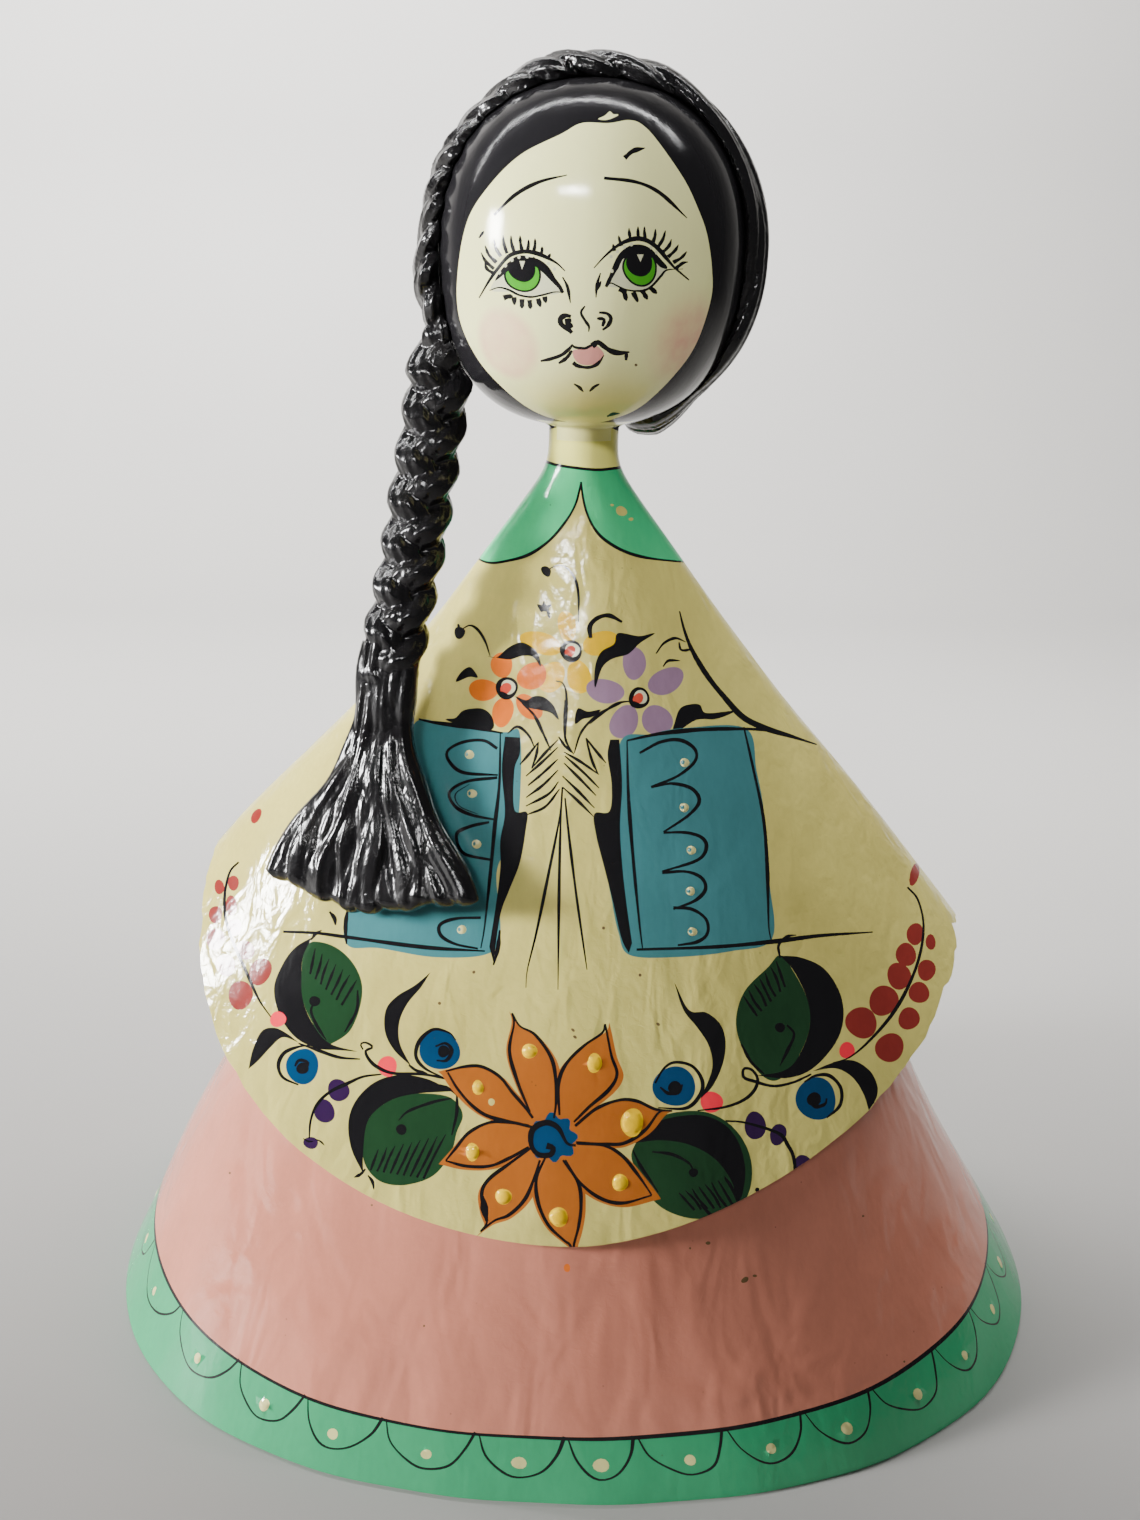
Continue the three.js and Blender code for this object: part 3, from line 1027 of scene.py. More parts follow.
    def grid(self) -> Array:
        """Evenly spread opened-out points, with both long edges alike."""
        rows = np.linspace(self.low, self.high, int((self.high - self.low) / self.pitch) + 1)
        columns = np.linspace(-self.edge, self.edge, int(2 * self.edge / self.pitch) + 1)
        half = (columns[1] - columns[0]) / 2
        lines = []
        for number, row in enumerate(rows):
            inner = columns[1:-1] + (half if number % 2 else 0)
            inner = inner[inner < self.edge - half]
            ends = np.concatenate([[-self.edge], inner, [self.edge]])
            lines.append(np.stack([ends, np.full_like(ends, row)], 1))
        return np.vstack(lines)

    def cut_out(self) -> tuple[Array, Array, list[Paint]]:
        """Triangulates the sheet along every mark.

        Returns:
            The opened-out points, the triangles and the paint of each.
        """
        across, up = np.array([-1, 1, 1, -1]) * self.edge, (self.low, self.low, self.high, self.high)
        layers = [(np.stack([across, up], 1), self.ground), *self.unfolded()]
        points, edges = [self.grid()], []
        count = len(points[0])
        for shape, _ in layers:
            corner = np.arange(len(shape))
            edges.append(np.stack([corner, (corner + 1) % len(shape)], 1) + count)
            points.append(shape)
            count += len(shape)
        flat = [Vector(p) for p in np.vstack(points).tolist()]
        verts, _, tris, *_ = delaunay_2d_cdt(flat, np.vstack(edges).tolist(), [], 0, 1e-4, False)
        places, tris = np.array([v[:] for v in verts]), np.array(tris)
        middles = places[tris].mean(1)
        kept = (np.abs(middles[:, 0]) < self.edge) & (middles[:, 1] > self.low) & (middles[:, 1] < self.high)
        order = np.nonzero(kept)[0][np.argsort(middles[kept, 0])]
        tris, middles = tris[order], middles[order]
        top = np.zeros(len(tris), int)
        for number, (shape, _) in enumerate(layers[1:], 1):
            first, last = np.searchsorted(middles[:, 0], [shape[:, 0].min(), shape[:, 0].max()])
            heights = middles[first:last, 1]
            near = first + np.nonzero((heights > shape[:, 1].min()) & (heights < shape[:, 1].max()))[0]
            top[near[within(shape, middles[near])]] = number
        return places, tris, [layers[number][1] for number in top]


@dataclass
class Shell:
    """Points, faces, paints and outward directions of one piece while it is put together."""

    points: list[Array] = field(default_factory=list)
    normals: list[Array] = field(default_factory=list)
    faces: list[tuple[int, ...]] = field(default_factory=list)
    paints: list[Paint] = field(default_factory=list)
    count: int = 0

    def add(self, points: Array, normals: Array | None = None) -> Array:
        """Adds points and gives their numbers.

        Args:
            points: The points.
            normals: Their directions, or None to take the faces'.

        Returns:
            Their numbers.
        """
        self.points.append(points)
        self.normals.append(np.zeros_like(points) if normals is None else normals)
        numbers = np.arange(self.count, self.count + len(points))
        self.count += len(points)
        return numbers

    def face(self, corners: tuple[int, ...], paint: Paint) -> None:
        """Adds a face unless two of its corners are one.

        Args:
            corners: Its points' numbers.
            paint: Its paint.
        """
        if len(set(corners)) == len(corners):
            self.faces.append(corners)
            self.paints.append(paint)

    def strip(self, upper: Array, lower: Array, paint: Paint) -> None:
        """Joins two closed rows of as many points.

        Args:
            upper: One row's numbers.
            lower: The other row's.
            paint: The faces' paint.
        """
        for k in range(len(upper)):
            nxt = (k + 1) % len(upper)
            self.face((int(upper[k]), int(lower[k]), int(lower[nxt]), int(upper[nxt])), paint)

    def cap(self, row: Array, place: Triple, paint: Paint) -> None:
        """Closes a row with triangles to one point.

        Args:
            row: The row's numbers.
            place: The point.
            paint: The faces' paint.
        """
        tip = int(self.add(np.array([place]))[0])
        for k in range(len(row)):
            self.face((int(row[k]), tip, int(row[(k + 1) % len(row)])), paint)

    def build(self, name: str) -> bpy.types.Object:
        """Makes the piece from the points that its faces use.

        Args:
            name: The piece's name.

        Returns:
            The piece.
        """
        kept, corners = np.unique(np.concatenate(self.faces), return_inverse=True)
        faces = np.split(corners, np.cumsum([len(face) for face in self.faces])[:-1])
        mesh = bpy.data.meshes.new(name)
        mesh.from_pydata((np.vstack(self.points)[kept] * MM).tolist(), [], [face.tolist() for face in faces])
        used = list(dict.fromkeys(self.paints))
        for paint in used:
            mesh.materials.append(paint.material())
        mesh.polygons.foreach_set("material_index", [used.index(p) for p in self.paints])
        mesh.polygons.foreach_set("use_smooth", [True] * len(self.faces))
        mesh.update()
        own = np.array([v.normal[:] for v in mesh.vertices])
        given = np.vstack(self.normals)[kept]
        blank = np.linalg.norm(given, axis=1) < 0.5
        given[blank] = own[blank]
        mesh.normals_split_custom_set_from_vertices(given.tolist())
        return linked(name, mesh)


def closed_sheet(
    shell: Shell, sheet: PaintedSheet, pointed: bool
) -> tuple[Array, Array, Array]:
    """Puts a painted sheet into a shell, joined at its long edges.

    Args:
        shell: The piece being made.
        sheet: The sheet with its marks.
        pointed: True if its upper edge closes to one point.

    Returns:
        Numbers of the points along its lower edge and its upper edge, in order of turn, and the
        turns of the lower ones.
    """
    flat, tris, paints = sheet.cut_out()
    u, v = flat.T
    numbers = shell.add(sheet.shifted(u, v), sheet.normals(u, v))
    joined = numbers.copy()
    left = np.nonzero(u < -sheet.edge + SEAM)[0]
    for place in np.nonzero(u > sheet.edge - SEAM)[0]:
        joined[place] = numbers[left[np.argmin(np.abs(v[left] - v[place]))]]
    inner = u < sheet.edge - SEAM
    high = np.nonzero(inner & (v > sheet.high - SEAM))[0]
    if pointed:
        joined[v > sheet.high - SEAM] = numbers[high[0]]
    for tri, paint in zip(tris, paints):
        shell.face(tuple(int(joined[k]) for k in tri), paint)
    low = np.nonzero(inner & (np.abs(v - sheet.low) < SEAM))[0]
    low, high = low[np.argsort(u[low])], high[np.argsort(u[high])]
    return numbers[low], numbers[high], u[low] / sheet.form.spread


def within(shape: Array, places: Array) -> Array:
    """Whether places lie inside an outline, also where the outline crosses itself.

    Args:
        shape: The outline.
        places: The places.

    Returns:
        True for each place inside.
    """
    turns = np.zeros(len(places), int)
    x, y = places.T
    for (ax, ay), (bx, by) in zip(shape, np.roll(shape, -1, 0)):
        crossed = (ay <= y) != (by <= y)
        if ay != by:
            reached = x < ax + (y - ay) * (bx - ax) / (by - ay)
            turns += np.where(crossed & reached, 1 if by > ay else -1, 0)
    return turns != 0


def ribbon(line: Array, width: float, start: float, end: float) -> list[Array]:
    """Outlines of one brush stroke, as short pieces end to end.

    Args:
        line: Even places along it.
        width: Full width, in the unit of the places.
        start: Share of the width where the brush lands.
        end: Share of the width where it lifts.

    Returns:
        The outlines.
    """
    t = np.linspace(0, 1, len(line))
    share = np.interp(t, [0, 0.35, 0.7, 1], [start, 1, 1, end])
    hand = 1 + 0.12 * np.sin(t * 9 + line[0, 0]) + 0.06 * np.sin(t * 23 + line[0, 1])
    half = width / 2 * share * hand
    along = np.gradient(line, axis=0)
    side = np.stack([-along[:, 1], along[:, 0]], 1) / np.maximum(np.hypot(*along.T), 1e-9)[:, None]
    a, b = line + side * half[:, None], line - side * half[:, None]
    return [np.array([a[k], a[k + 1], b[k + 1], b[k]]) for k in range(len(line) - 1)]


def spot(x: float, y: float, wide: float, tall: float = 0, tilt: float = 0) -> Array:
    """Outline of an oval spot in the photograph, hand-round.

    Args:
        x: Its middle, to the right.
        y: Its middle, downwards.
        wide: Half its width.
        tall: Half its height, or 0 for a round one.
        tilt: Its turn in degrees.

    Returns:
        The outline.
    """
    turn = full_turn(max(12, int(wide * 2.4)))
    hand = 1 + 0.04 * np.sin(2 * turn + x) + 0.03 * np.sin(3 * turn + y)
    a, b = wide * hand * np.cos(turn), (tall or wide) * hand * np.sin(turn)
    c, s = math.cos(math.radians(tilt)), math.sin(math.radians(tilt))
    return np.stack([x + a * c - b * s, y + a * s + b * c], 1)


def leaf(one_edge: Line, other_edge: Line) -> Array:
    """Outline with two smooth edges that meet in points, each edge from the same end."""
    return np.vstack([curve(one_edge)[:-1], curve(other_edge)[::-1][:-1]])


def outline(points: Line) -> Array:
    """Smooth closed outline through a few places."""
    return curve(points, closed=True)


@dataclass(frozen=True)
class Hem:
    """The green hem: a black line above a row of scallops, each with a cream dot, all round."""

    sheet: PaintedSheet
    line_front: float = 17.2
    line_side: float = 24.0
    line_width: float = 0.9
    scallop_drop: float = 10.0
    scallop_width: float = 0.55
    dot_radius: float = 1.45
    dot_height: float = 0.25
    back_pitch: float = 23.5
    seen_joins: Line = (
        (139, 1275), (179, 1313), (239, 1362), (308, 1389), (384, 1415), (476, 1435), (566, 1447),
        (636, 1447), (726, 1438), (805, 1421), (877, 1408), (946, 1374), (985, 1339), (1007, 1301),
    )
    smudges: tuple[Spot, ...] = ((745, 1280, 4.2, 2.6, -30), (755, 1276, 2.2, 1.4), (708, 1243, 2.6, 1.7))
    orange_speck: Spot = (567, 1268, 3.2, 4.4)
    speck_radius: float = 1.1
    small_specks: Line = ((424, 1326), (372, 1205), (230, 1173), (863, 1216), (905, 1362), (690, 1248))

    def height(self, u: Array) -> Array:
        """Height of the black line at an opened-out place."""
        side = np.abs(np.sin(u / self.sheet.form.spread))
        return mix(self.line_front, self.line_side, side**3) + 0.35 * np.sin(u / 31)

    def joins(self) -> Array:
        """Opened-out places where scallops meet: the seen ones, then evenly on round the back."""
        seen = self.sheet.sight.hits(self.sheet.form, np.array(self.seen_joins, float))
        first, last = seen[0, 0], seen[-1, 0]
        edge = self.sheet.edge
        right = np.linspace(last, edge, int((edge - last) / self.back_pitch) + 1)[1:]
        left = np.linspace(first, -edge, int((edge + first) / self.back_pitch) + 1)[1:]
        return np.concatenate([left[::-1], seen[:, 0], right])

    def paint(self) -> None:
        """Paints the hem."""
        edge = self.sheet.edge
        around = np.linspace(-edge, edge, 361)
        line = self.height(around)
        line[-1] = line[0]
        self.sheet.band(around, np.full_like(around, self.sheet.low), line, Paint.HEM_GREEN)
        joins = self.joins()
        for number, (left, right) in enumerate(zip(joins[:-1], joins[1:])):
            wide = right - left
            low = min(self.height((left + right) / 2), self.height(left)) - self.scallop_drop
            top = self.height(np.array([left, right]))
            skew = 0.04 * math.sin(number * 2.3)
            places = (
                (left + 0.03 * wide, top[0] + 0.3),
                (left + 0.13 * wide, mix(top[0], low, 0.5)),
                (left + (0.34 + skew) * wide, mix(top[0], low, 0.9)),
                (left + (0.52 + skew) * wide, low),
                (left + (0.74 + skew) * wide, mix(top[1], low, 0.84)),
                (left + 0.9 * wide, mix(top[1], low, 0.42)),
                (right - 0.01 * wide, top[1] + 0.5),
            )
            self.sheet.cut(ribbon(curve(places, 1.1), self.scallop_width, 0.6, 1.3), Paint.BLACK)
            middle = (left + (0.5 + skew) * wide, low + 0.36 * self.scallop_drop)
            radius = self.dot_radius * (1 + 0.15 * math.sin(number * 1.7))
            self.sheet.cut([spot(*middle, radius)], Paint.SPOT)
            self.sheet.raised(middle, radius, self.dot_height)
        thick = self.line_width * (1 + 0.2 * np.sin(around / 40) + 0.1 * np.sin(around / 13)) / 2
        thick[-1] = thick[0]
        self.sheet.band(around, line - thick, line + thick, Paint.BLACK)
        self.sheet.spots(Paint.GRIME, self.smudges)
        self.sheet.spots(Paint.BUD_ORANGE, (self.orange_speck,))
        self.sheet.fill(Paint.GRIME, *[spot(*place, self.speck_radius) for place in self.small_specks])


@dataclass(frozen=True)
class Eye:
    """One painted eye, in the photograph's places."""

    lid: Line
    fold: Line
    lower: Line
    mass: Line
    white: Line
    iris: Point
    pupil: Point
    glint: Line
    gaps: Line
    lashes: Lines
    under: Lines
    iris_radius: float = 16.9
    pupil_radius: float = 13.6

    def paint(self, sheet: PaintedSheet, scale: float) -> None:
        """Paints the eye.

        Args:
            sheet: The sheet that carries it.
            scale: The photograph's pixels to a millimetre there.
        """
        sheet.fill(Paint.WHITE, outline(self.white))
        sheet.fill(Paint.BLACK, spot(*self.iris, self.iris_radius + 1.1))
        sheet.fill(Paint.IRIS, spot(*self.iris, self.iris_radius - 0.9))
        sheet.fill(Paint.BLACK, spot(*self.pupil, self.pupil_radius), outline(self.mass))
        sheet.line((self.lid,), width=1.05, scale=scale, start=0.25)
        sheet.line((self.fold,), width=1.1, scale=scale, start=0.5, end=0.6)
        sheet.line((self.lower,), width=0.55, scale=scale)
        sheet.line(self.lashes, width=0.78, scale=scale, start=1.2, end=0.25)
        sheet.line(self.under, width=1.15, scale=scale, start=1.1)
        sheet.fill(Paint.WHITE, np.array(self.glint, float), *[spot(*gap, 1.5, 1.9) for gap in self.gaps])


@dataclass(frozen=True)
class Face:
    """The doll's painted face, with the hair painted round it."""

    sheet: PaintedSheet
    scale: float = 4.15
    hair_low: float = 12.5
    chin_half: float = 52.0
    chin_low: float = 4.0
    chin_high: float = 30.0
    rim: Line = (
        (582, 123), (609, 123), (630, 120), (644, 126), (660, 144), (684, 179), (697, 206), (707, 234),
        (712, 269), (711, 299), (697, 342), (677, 372), (647, 402), (622, 416), (590, 424), (558, 420),
        (531, 409.5), (503, 388), (477, 358), (459.5, 318.5), (457.5, 275), (467, 222), (488, 187),
        (520, 155), (561, 134),
    )
    brows: Lines = (
        ((494, 215), (515, 195), (539, 182), (567, 175)),
        ((604, 178), (636, 182), (660, 193), (687, 218)),
    )
    wisp: Lines = (((624.5, 158), (633, 151), (645, 148)),)
    tick: Lines = (((479, 238), (484, 231)),)
    bridge: Lines = (
        ((562.5, 277), (567.5, 287), (570.5, 303)),
        ((600.5, 273), (597, 285), (596, 297.5)),
        ((601, 281), (597.5, 290)),
    )
    nose: Lines = (((585, 306), (581, 312.5), (585, 320.5), (589, 326.5), (588.5, 332)),)
    left_nostril: Lines = (
        ((571, 316.5), (565.5, 315.5), (560.5, 318.5), (561.5, 324.5), (568.5, 329.5), (572, 333)),
        ((571.5, 320), (566, 321.5), (570.5, 325.5), (572, 328)),
    )
    right_nostril: Lines = (
        ((599, 312.5), (607, 313.5), (611, 318.5), (608, 325.5), (602.5, 330)),
        ((597, 318.5), (604, 319.5), (602.5, 326.5)),
    )
    smile: Lines = (
        ((540.5, 361), (550.5, 359), (561.5, 355), (568.5, 349.5), (573, 344.5)),
        ((558.5, 363.5), (566.5, 358), (572, 350.5)),
        ((573, 346.5), (578, 348), (586, 348.5), (594, 344.5), (598, 342)),
        ((626.5, 352), (626, 360.5)),
    )
    bow: Lines = (((592, 346), (598, 342.3), (604, 346.5), (611, 351), (619.5, 353), (629.5, 352)),)
    lips: Line = (
        (573, 350.5), (579, 349.5), (586, 349.5), (595, 345.5), (601, 349.5), (604, 355), (599, 362),
        (590, 365), (580, 364), (574, 358),
    )
    lower_lip: Lines = (((573, 362.5), (578, 366), (588, 367.5), (596, 365), (601, 360), (604, 355)),)
    chin: Lines = (((574, 384), (579, 387), (583.5, 392)), ((589.5, 391.5), (594, 387), (599.5, 384)))
    under_chin: Lines = (((607, 416.5), (613, 414), (620, 413.5)),)
    speck: Spot = (636, 365, 1.4)
    hairline_chip: Line = ((598, 119), (605, 115.5), (610, 111), (613, 114), (619, 114.5), (614, 117.5),
                           (606, 120))
    left_eye: Eye = Eye(
        lid=((479, 298), (489, 281), (499, 267), (509, 256), (520, 252), (531, 252), (542.5, 255.5),
             (556.5, 263), (565, 271)),
        fold=((533, 257), (540.5, 267), (550.5, 276), (558.5, 285), (563, 293)),
        lower=((489.5, 290.5), (499, 287.5), (509, 290), (519, 295), (531, 297), (542.5, 295), (554.5, 292),
               (563, 292.5)),
        mass=((495, 281), (501, 270), (511, 260.5), (524, 257), (537, 258.5), (548, 266), (556, 279),
              (562, 291), (553, 283), (541, 271), (530, 264), (517, 264.5), (507, 272)),
        white=((491, 290), (501, 272), (515, 258), (532, 257), (546, 268), (561, 291), (545, 295),
               (529, 297), (512, 292)),
        iris=(523, 275),
        pupil=(522, 268.5),
        glint=((519.5, 261), (525, 261), (522, 269.5)),
        gaps=((499.5, 272.5), (505.5, 265.5), (512, 260), (519, 257), (527, 256.5), (548.5, 263.5),
              (554.5, 269)),
        lashes=(
            ((494, 269), (485.5, 261), (481, 252.5)), ((493, 273), (487, 269), (484.5, 262)),
            ((496.5, 262.5), (489, 255), (485, 245.5)), ((501, 256.5), (496, 248.5), (494, 239.5)),
            ((507, 253.5), (504, 244), (503, 235)), ((514, 251.5), (511.5, 243), (511, 235.5)),
            ((522, 250.5), (520.5, 243), (520, 235.5)), ((527.5, 250.5), (528.5, 245), (528.5, 239.5)),
            ((533.5, 252), (535, 245), (535, 238.5)), ((540.5, 255), (542, 251), (542, 246.5)),
            ((547.5, 259), (549, 256.5), (550.5, 253.5)),
        ),
        under=(
            ((503.5, 298), (508, 296.5), (513, 296.5)), ((514, 297), (514.5, 305)),
            ((522, 299), (522, 308.5)), ((529.5, 300), (530.5, 309)), ((538, 298.5), (540.5, 307)),
            ((544.5, 296.5), (546, 303)),
        ),
    )
    right_eye: Eye = Eye(
        lid=((594, 268), (604, 257), (615, 247.5), (625.5, 241.5), (637.5, 238.5), (649, 241.5),
             (659, 249.5), (667, 259), (675, 268), (689, 280)),
        fold=((621.5, 259), (613, 273), (606, 287)),
        lower=((605, 286), (611, 283), (617.5, 286), (625.5, 289.5), (635.5, 291), (645.5, 290), (653, 285),
               (661, 276), (667, 270), (683, 269)),
        mass=((606, 286), (612, 268), (619, 254), (629, 246), (640, 244.5), (650, 248), (658, 256),
              (668, 268), (660, 267), (652, 258), (640, 253), (629, 256), (620, 262), (612, 276)),
        white=((607, 285), (614, 268), (624, 250), (640, 246), (656, 256), (667, 269), (655, 283),
               (641, 290), (624, 288)),
        iris=(640, 268),
        pupil=(639.5, 262.5),
        glint=((637, 254.5), (643.5, 254.5), (640.5, 262)),
        gaps=((611, 256.5), (617.5, 251.5), (624.5, 247), (631.5, 244.5), (651, 247.5), (656.5, 252.5),
              (612, 271)),
        lashes=(
            ((614.5, 251), (613, 244)), ((621.5, 246), (619.5, 240), (618.5, 235.5)),
            ((631, 241.5), (629.5, 234), (629, 228)), ((638.5, 239.5), (638, 233), (638, 226.5)),
            ((645.5, 240.5), (644.5, 233), (644.5, 226.5)), ((652.5, 243.5), (655, 236), (655.5, 229)),
            ((658, 247), (663, 239), (665.5, 230.5)), ((663, 252), (669, 246), (671.5, 239)),
            ((668, 257), (675, 250.5), (678.5, 244.5)), ((673, 262.5), (681, 258), (687, 251.5)),
            ((676, 268), (683, 263), (688, 262)),
        ),
        under=(
            ((619, 289), (623.5, 291), (627, 290.5)), ((624, 291), (626.5, 301)), ((633, 292), (638, 302)),
            ((642, 290), (647.5, 299.5)), ((649.5, 287), (657, 293.5)),
        ),
    )

    def paint(self) -> None:
        """Paints the head."""
        sheet, scale, edge = self.sheet, self.scale, self.sheet.edge
        around = np.linspace(-edge, edge, 181)
        low = self.hair_low + 1.6 * np.cos(around / sheet.form.spread * 2)
        low[-1] = low[0]
        sheet.band(around, low, np.full_like(around, sheet.high), Paint.HAIR)
        under = np.linspace(-self.chin_half, self.chin_half, 30)
        bottom = np.full_like(under, self.hair_low - self.chin_low)
        sheet.band(under, bottom, np.full_like(under, (self.hair_low + self.chin_high) / 2), Paint.SKIN)
        sheet.fill(Paint.SKIN, outline(self.rim), outline(self.hairline_chip))
        self.left_eye.paint(sheet, scale)
        self.right_eye.paint(sheet, scale)
        sheet.line(self.brows, width=0.95, scale=scale, start=0.7, end=0.25)
        sheet.line(self.wisp, width=1.15, scale=scale, start=1.0, end=0.25)
        sheet.line((*self.tick, *self.bridge, *self.nose, *self.chin), width=0.75, scale=scale)
        sheet.line((*self.right_nostril, *self.smile), width=0.95, scale=scale, start=0.5, end=0.6)
        sheet.line(self.left_nostril, width=1.35, scale=scale, start=0.6, end=0.6)
        sheet.fill(Paint.LIP, outline(self.lips))
        sheet.line(self.bow, width=1.3, scale=scale, start=1.0, end=0.35)
        sheet.line(self.lower_lip, width=0.85, scale=scale, start=1.1, end=0.25)
        sheet.line(self.under_chin, width=0.7, scale=scale, start=0.6, end=0.2)
        sheet.spots(Paint.GRIME, (self.speck,))


@dataclass(frozen=True)
class Collar:
    """The green collar round the neck, with its two lobes in front."""

    sheet: PaintedSheet
    neck_line: Line = ((544, 461), (556, 465), (574.5, 468), (597.5, 470), (617, 468))
    left_lobe: Line = (
        (476, 558), (489.5, 563), (505.5, 561.5), (528.5, 555), (549, 541), (565, 522.5), (575.5, 504.5),
        (581, 484),
    )
    right_lobe: Line = (
        (581, 482), (583, 497.5), (587, 513.5), (595, 529.5), (606.5, 541), (625, 551.5), (648, 558),
        (683, 562),
    )
    neck_top: float = 18.0
    back_low: float = -33.0
    seam_half: float = 0.4
    worn: tuple[Spot, ...] = ((621.5, 511, 6, 4.6, 20), (631, 519, 2.4, 1.7), (612, 505, 1.8, 1.2))

    def paint(self) -> None:
        """Paints the neck and the collar."""
        sheet = self.sheet
        places = [np.array(line, float) for line in (self.neck_line, self.left_lobe, self.right_lobe)]
        flat = [sheet.sight.hits(sheet.form, curve(line, 3)) for line in places]
        edge = sheet.edge
        around = np.linspace(-edge, edge, 241)
        neck = np.interp(around, flat[0][:, 0], flat[0][:, 1])
        neck[-1] = neck[0]
        sheet.band(around, neck, np.full_like(around, self.neck_top), Paint.NECK)
        lobes = np.vstack([flat[1], flat[2][1:]])
        order = np.concatenate([[-edge], lobes[:, 0], [edge]])
        low = np.concatenate([[self.back_low], lobes[:, 1], [self.back_low]])
        shape = np.vstack([np.stack([order, low], 1), np.stack([around[::-1], neck[::-1]], 1)])
        sheet.cut([shape], Paint.COLLAR_GREEN)
        sheet.line((self.left_lobe, self.right_lobe), width=0.8, start=0.7, end=0.6)
        half = self.seam_half
        for side, lobe in ((-1, flat[1][0]), (1, flat[2][-1])):
            rest = np.linspace(lobe[0], side * edge, 60)
            height = np.interp(rest * side, [lobe[0] * side, edge], [lobe[1], self.back_low])
            sheet.band(rest[::side], (height - half)[::side], (height + half)[::side], Paint.BLACK)
        sheet.band(around, neck - half, neck + 0.45, Paint.BLACK)
        sheet.spots(Paint.CREAM, self.worn)


@dataclass(frozen=True)
class Blossom:
    """One flower of the bouquet: oval petals round a dark ring."""

    paint: Paint
    middle: Point
    ring: float
    petals: tuple[Spot, ...]

    def draw(self, sheet: PaintedSheet) -> None:
        """Draws the flower on a sheet.

        Args:
            sheet: The sheet.
        """
        for x, y, long, short in self.petals:
            tilt = math.degrees(math.atan2(y - self.middle[1], x - self.middle[0]))
            sheet.fill(self.paint, spot(x, y, long / 2, short / 2, tilt))
        x, y = self.middle
        ring = self.ring
        sheet.fill(Paint.BLACK, spot(x, y, ring, ring * 0.95))
        sheet.fill(Paint.WHITE, spot(x + 1.5, y - 1, ring * 0.62))
        sheet.fill(Paint.RED, spot(x - 1, y + 0.5, ring * 0.45, ring * 0.55, 30))
        sheet.fill(Paint.BLACK, spot(x - ring * 0.3, y + ring * 0.55, ring * 0.5, ring * 0.22, 20))


@dataclass(frozen=True)
class Bouquet:
    """The flowers painted on the chest, with their stems, and the line of the shawl."""

    sheet: PaintedSheet
    blossoms: tuple[Blossom, ...] = (
        Blossom(Paint.BUD_YELLOW, (571, 651), 11.5, (
            (567, 626, 30, 19), (541, 643, 42, 22), (600, 643, 36, 23), (551, 677, 34, 25),
            (579, 677, 33, 25))),
        Blossom(Paint.LAVENDER, (639, 698), 11, (
            (634, 663, 34, 23), (666, 681, 38, 25), (605, 691, 37, 25), (624, 722, 34, 28),
            (657, 720, 32, 29))),
        Blossom(Paint.BUD_ORANGE, (507, 688), 11.5, (
            (502, 665, 26, 21), (532, 676, 32, 25), (484, 690, 29, 22), (503, 712, 30, 21),
            (529, 707, 30, 21))),
    )
    leaves: Lines = (
        ((488, 656), (497, 657.5), (508, 648), (519.5, 642.5), (529, 645), (538, 653.5), (541, 667),
         (533, 657), (522, 656), (509, 659.5)),
        ((655, 633), (639, 636), (618, 633), (614, 644), (601, 652), (595, 667), (595, 688), (602, 668),
         (612, 659), (628, 654), (640, 643)),
        ((456.5, 682), (462, 672), (470, 667), (475, 671), (478.5, 678), (470, 677)),
        ((515, 696), (526, 700), (534, 696), (544, 697), (554, 706), (559, 720), (551, 713), (540, 710),
         (527, 707)),
        ((575, 724), (577.5, 708.5), (588, 711.5), (601, 709.5), (592, 717), (583, 719)),
        ((446, 719.5), (456, 718), (463, 711), (473, 708.5), (484, 709), (492, 716), (494, 728), (484, 730),
         (466, 727)),
        ((674, 733), (676, 718), (681, 707.5), (692, 704), (700, 705), (706, 713), (733.5, 711), (716, 719),
         (696, 720)),
    )
    thick_hook: Lines = (((590.5, 638), (590, 626), (597.5, 618), (609, 615.5), (622, 622)),)
    buds: Lines = (
        ((541, 568), (546, 566), (551, 570), (549, 577), (543, 574)),
        ((537, 604), (542, 605), (544, 600), (546, 605), (552, 604), (549, 609), (551, 615), (545, 611),
         (541, 612)),
        ((456, 628), (461, 627), (466, 631), (463, 638), (458, 639), (455, 634)),
    )
    stems: Lines = (
        ((550, 568.5), (558.5, 565), (567.5, 568.5), (575.5, 580), (578.5, 596), (578.5, 622.5)),
        ((547, 612), (550, 618)),
        ((458.5, 624), (460, 629)),
        ((463, 629), (471, 625.5), (479, 630.5), (486, 642), (490.5, 656)),
        ((556, 681), (563, 683.5), (566.5, 697), (566, 735)),
        ((633, 701), (618, 703), (604, 712), (590, 724)),
        ((656, 653.5), (664, 643), (675.5, 638), (686, 642)),
        ((679, 642), (681.5, 650), (692.5, 649)),
        ((663, 666.5), (668.5, 660.5), (680, 660.5)),
        ((522, 703), (535, 716), (544, 733)),
    )
    shawl: Lines = (
        ((679.5, 611), (684.5, 630.5), (692.5, 651), (707.5, 676.5), (723.5, 697), (742, 717), (764.5, 728),
         (792.5, 736.5), (816.5, 744.5)),
    )

    def paint(self) -> None:
        """Paints the bouquet."""
        sheet = self.sheet
        for blossom in self.blossoms:
            blossom.draw(sheet)
        sheet.fill(Paint.BLACK, *[outline(leaf_line) for leaf_line in (*self.leaves, *self.buds)])
        sheet.line(self.stems, width=0.72)
        sheet.line(self.thick_hook, width=1.3, start=0.8, end=0.4)
        sheet.line(self.shawl, width=1.6, start=0.2, end=0.25)


